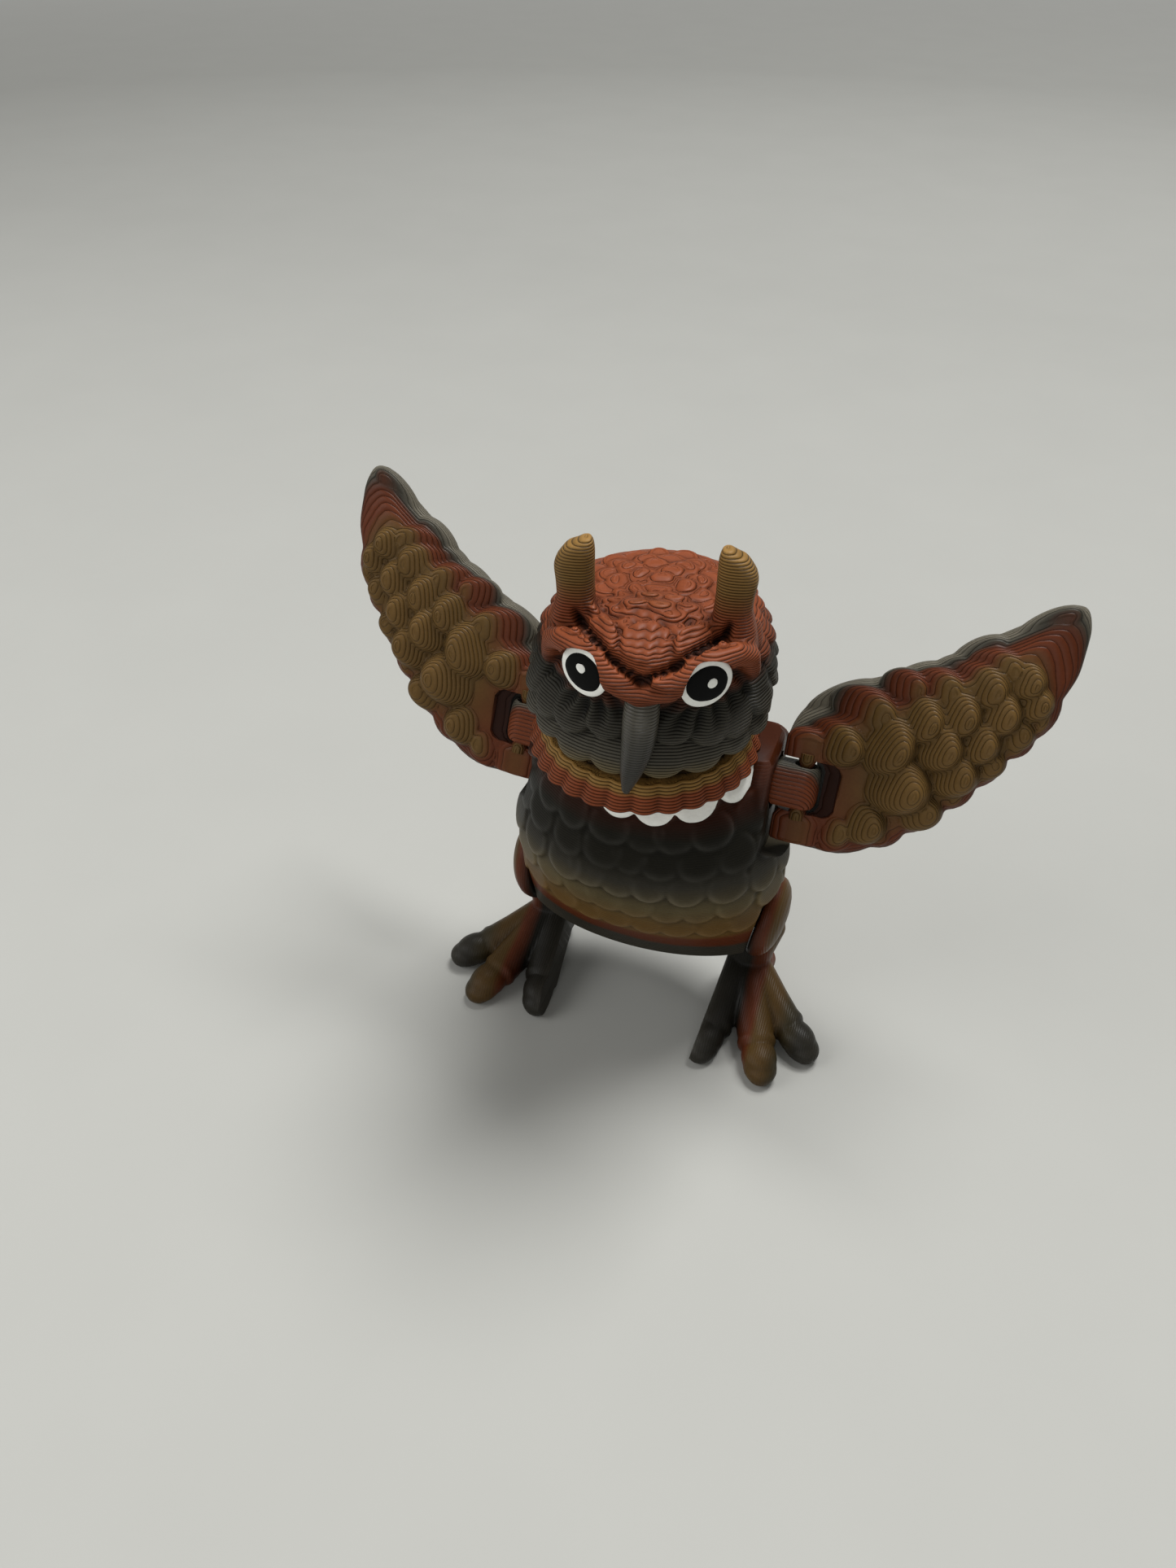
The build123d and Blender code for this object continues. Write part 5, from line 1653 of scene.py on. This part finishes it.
class OWL_OT_legs(bpy.types.Operator):
    """Builds both legs with their hip pegs"""

    bl_idname = "owl.legs"
    bl_label = "Legs"

    def execute(self, context):
        for name, side in SIDES.items():
            hip = hip_frame(name)
            material = leg_material(name)
            skin = fuse(f"leg_skin_{name}", [leg_clay(side).make("leg_clay")], 0.25, 5)
            slice_off(skin, hip @ Vector((0, 0, -FOOT_INNER)), -hip.col[2].to_3d())
            slice_off(skin, (0, 0, 0), -UP)
            mark_relief(skin)
            boolean(skin, [Clay().revolve(hip, CLEARANCE_PROFILE, 64).make("clearance")])
            boolean(skin, [Clay().revolve(hip, PEG_PROFILE).make("peg")], "UNION")
            hand_over(skin, f"leg_{name}", "leg_plastic", material, f"leg_{name}")
        return {"FINISHED"}


# ---------------------------------------------------------------- stage
FLOOR_HALF = 3.0
PAPER = (0.475, 0.475, 0.445)
# colour of the painted glow of the floor far off
BACKDROP_GLOW = (0.40, 0.40, 0.385)
AIMED_AT = Vector((0, 0, 0.04))
# lamps: name, place in metres, size in metres and power in watts
LAMPS = (("key", (0.18, 0.42, 1.10), 0.50, 14.5), ("fill", (-0.6, -0.35, 0.5), 0.5, 2.2),
         ("front", (0.1, -0.75, 0.4), 0.5, 1.1))
SENSOR = 36.0
LENS_SHARE = 1500 / 1927     # focal length as a share of the frame's longer side
CAMERA_AT = Vector((36.16, -132.0, 157.5))
CAMERA_RIGHT = Vector((0.9426, 0.3338, 0))
CAMERA_UP = Vector((-0.2146, 0.6059, 0.7660))
CAMERA_BACK = Vector((0.2557, -0.7221, 0.6428))
CAMERA_ROLL = math.radians(0.5)


def floor_material():
    """Pale paper with painted shade that darkens it a little toward the back, and a painted glow far off.
    """
    material, tree, shader, coordinates = new_material("floor_paper")
    on_floor = Signal(coordinates, "Object")
    depth = Signal(add_node(tree, "ShaderNodeSeparateXYZ", {0: on_floor}), "Y")
    # painted shade: the paper darkens toward the back
    backward_shade = add_node(tree, "ShaderNodeMapRange", {"Value": depth, "From Min": -0.08, "From Max": 0.35,
                                                 "To Min": 1.0, "To Max": 0.78})
    tone = (noise_node(on_floor, 30.0, 4.0) * 0.06 + 0.97) * Signal(backward_shade)
    # painted glow: beyond the reach of the lamps the floor glows to take the brightness of the backdrop
    span = Signal(add_node(tree, "ShaderNodeVectorMath", {0: on_floor}, operation="LENGTH"), "Value")
    far = add_node(tree, "ShaderNodeMapRange", {"Value": span, "From Min": 0.8, "From Max": 2.0})
    feed(shader, {"Base Color": scale_node(PAPER, tone), "Roughness": 0.8, "Specular IOR Level": 0.2,
                  "Emission Color": scale_node(BACKDROP_GLOW, Signal(far)), "Emission Strength": 1.0})
    return material


class OWL_OT_stage(bpy.types.Operator):
    """Sets the pale floor, the soft lights and the camera"""

    bl_idname = "owl.stage"
    bl_label = "Stage"

    def execute(self, context):
        scene = context.scene
        scene.view_settings.view_transform = "Standard"
        floor = bpy.data.meshes.new("floor")
        corners = [(-FLOOR_HALF, -FLOOR_HALF, 0), (FLOOR_HALF, -FLOOR_HALF, 0), (FLOOR_HALF, FLOOR_HALF, 0),
                   (-FLOOR_HALF, FLOOR_HALF, 0)]
        floor.from_pydata(corners, [], [(0, 1, 2, 3)])
        floor.materials.append(floor_material())
        link("floor", floor)

        world = bpy.data.worlds.new("studio")
        scene.world = world
        world.use_nodes = True
        path = world.node_tree.nodes.new("ShaderNodeLightPath")
        seen = Signal(path, "Is Camera Ray").math("MAXIMUM", Signal(path, "Is Glossy Ray") * 0.1)
        feed(world.node_tree.nodes["Background"],
             {"Color": (0.93, 0.94, 0.92, 1), "Strength": seen * 0.34 + 0.16})

        for name, place, size, power in LAMPS:
            lamp = bpy.data.lights.new(name, "AREA")
            lamp.size = size
            lamp.energy = power
            holder = bpy.data.objects.new(name, lamp)
            scene.collection.objects.link(holder)
            holder.location = place
            holder.rotation_euler = (AIMED_AT - Vector(place)).to_track_quat("-Z", "Y").to_euler()

        camera = bpy.data.cameras.new("camera")
        camera.sensor_width = SENSOR
        camera.lens = SENSOR * LENS_SHARE
        camera.clip_start = 0.005
        eye = bpy.data.objects.new("camera", camera)
        scene.collection.objects.link(eye)
        across = CAMERA_RIGHT * math.cos(CAMERA_ROLL) + CAMERA_UP * math.sin(CAMERA_ROLL)
        upright = CAMERA_UP * math.cos(CAMERA_ROLL) - CAMERA_RIGHT * math.sin(CAMERA_ROLL)
        eye.matrix_world = basis(CAMERA_AT * MM, across, upright, CAMERA_BACK)
        scene.camera = eye
        return {"FINISHED"}


# ---------------------------------------------------------------- panel and registration
STEPS = (OWL_OT_torso, OWL_OT_chest_paint, OWL_OT_head, OWL_OT_eyes, OWL_OT_beak, OWL_OT_wings,
         OWL_OT_links, OWL_OT_legs, OWL_OT_stage)


class OWL_PT_panel(bpy.types.Panel):
    """Sizes, colours and build steps of the owl toy"""

    bl_idname = "OWL_PT_panel"
    bl_label = "Printed Owl Toy"
    bl_space_type = "VIEW_3D"
    bl_region_type = "UI"
    bl_category = "Owl Toy"

    def draw(self, context):
        for group in (context.scene.owl_sizes, context.scene.owl_colours):
            for key in group.__annotations__:
                self.layout.prop(group, key)
        for step in STEPS:
            self.layout.operator(step.bl_idname)


CLASSES = (OwlSizes, OwlColours, *STEPS, OWL_PT_panel)


def register():
    """Registers the classes and hangs the settings on the scene."""
    for item in CLASSES:
        bpy.utils.register_class(item)
    bpy.types.Scene.owl_sizes = bpy.props.PointerProperty(type=OwlSizes)
    bpy.types.Scene.owl_colours = bpy.props.PointerProperty(type=OwlColours)


def unregister():
    """Takes the settings and the classes away again."""
    del bpy.types.Scene.owl_colours
    del bpy.types.Scene.owl_sizes
    for item in reversed(CLASSES):
        bpy.utils.unregister_class(item)


def main():
    """Builds every piece in order."""
    register()
    for step in STEPS:
        category, action = step.bl_idname.split(".")
        getattr(getattr(bpy.ops, category), action)()


if __name__ == "__main__":
    main()
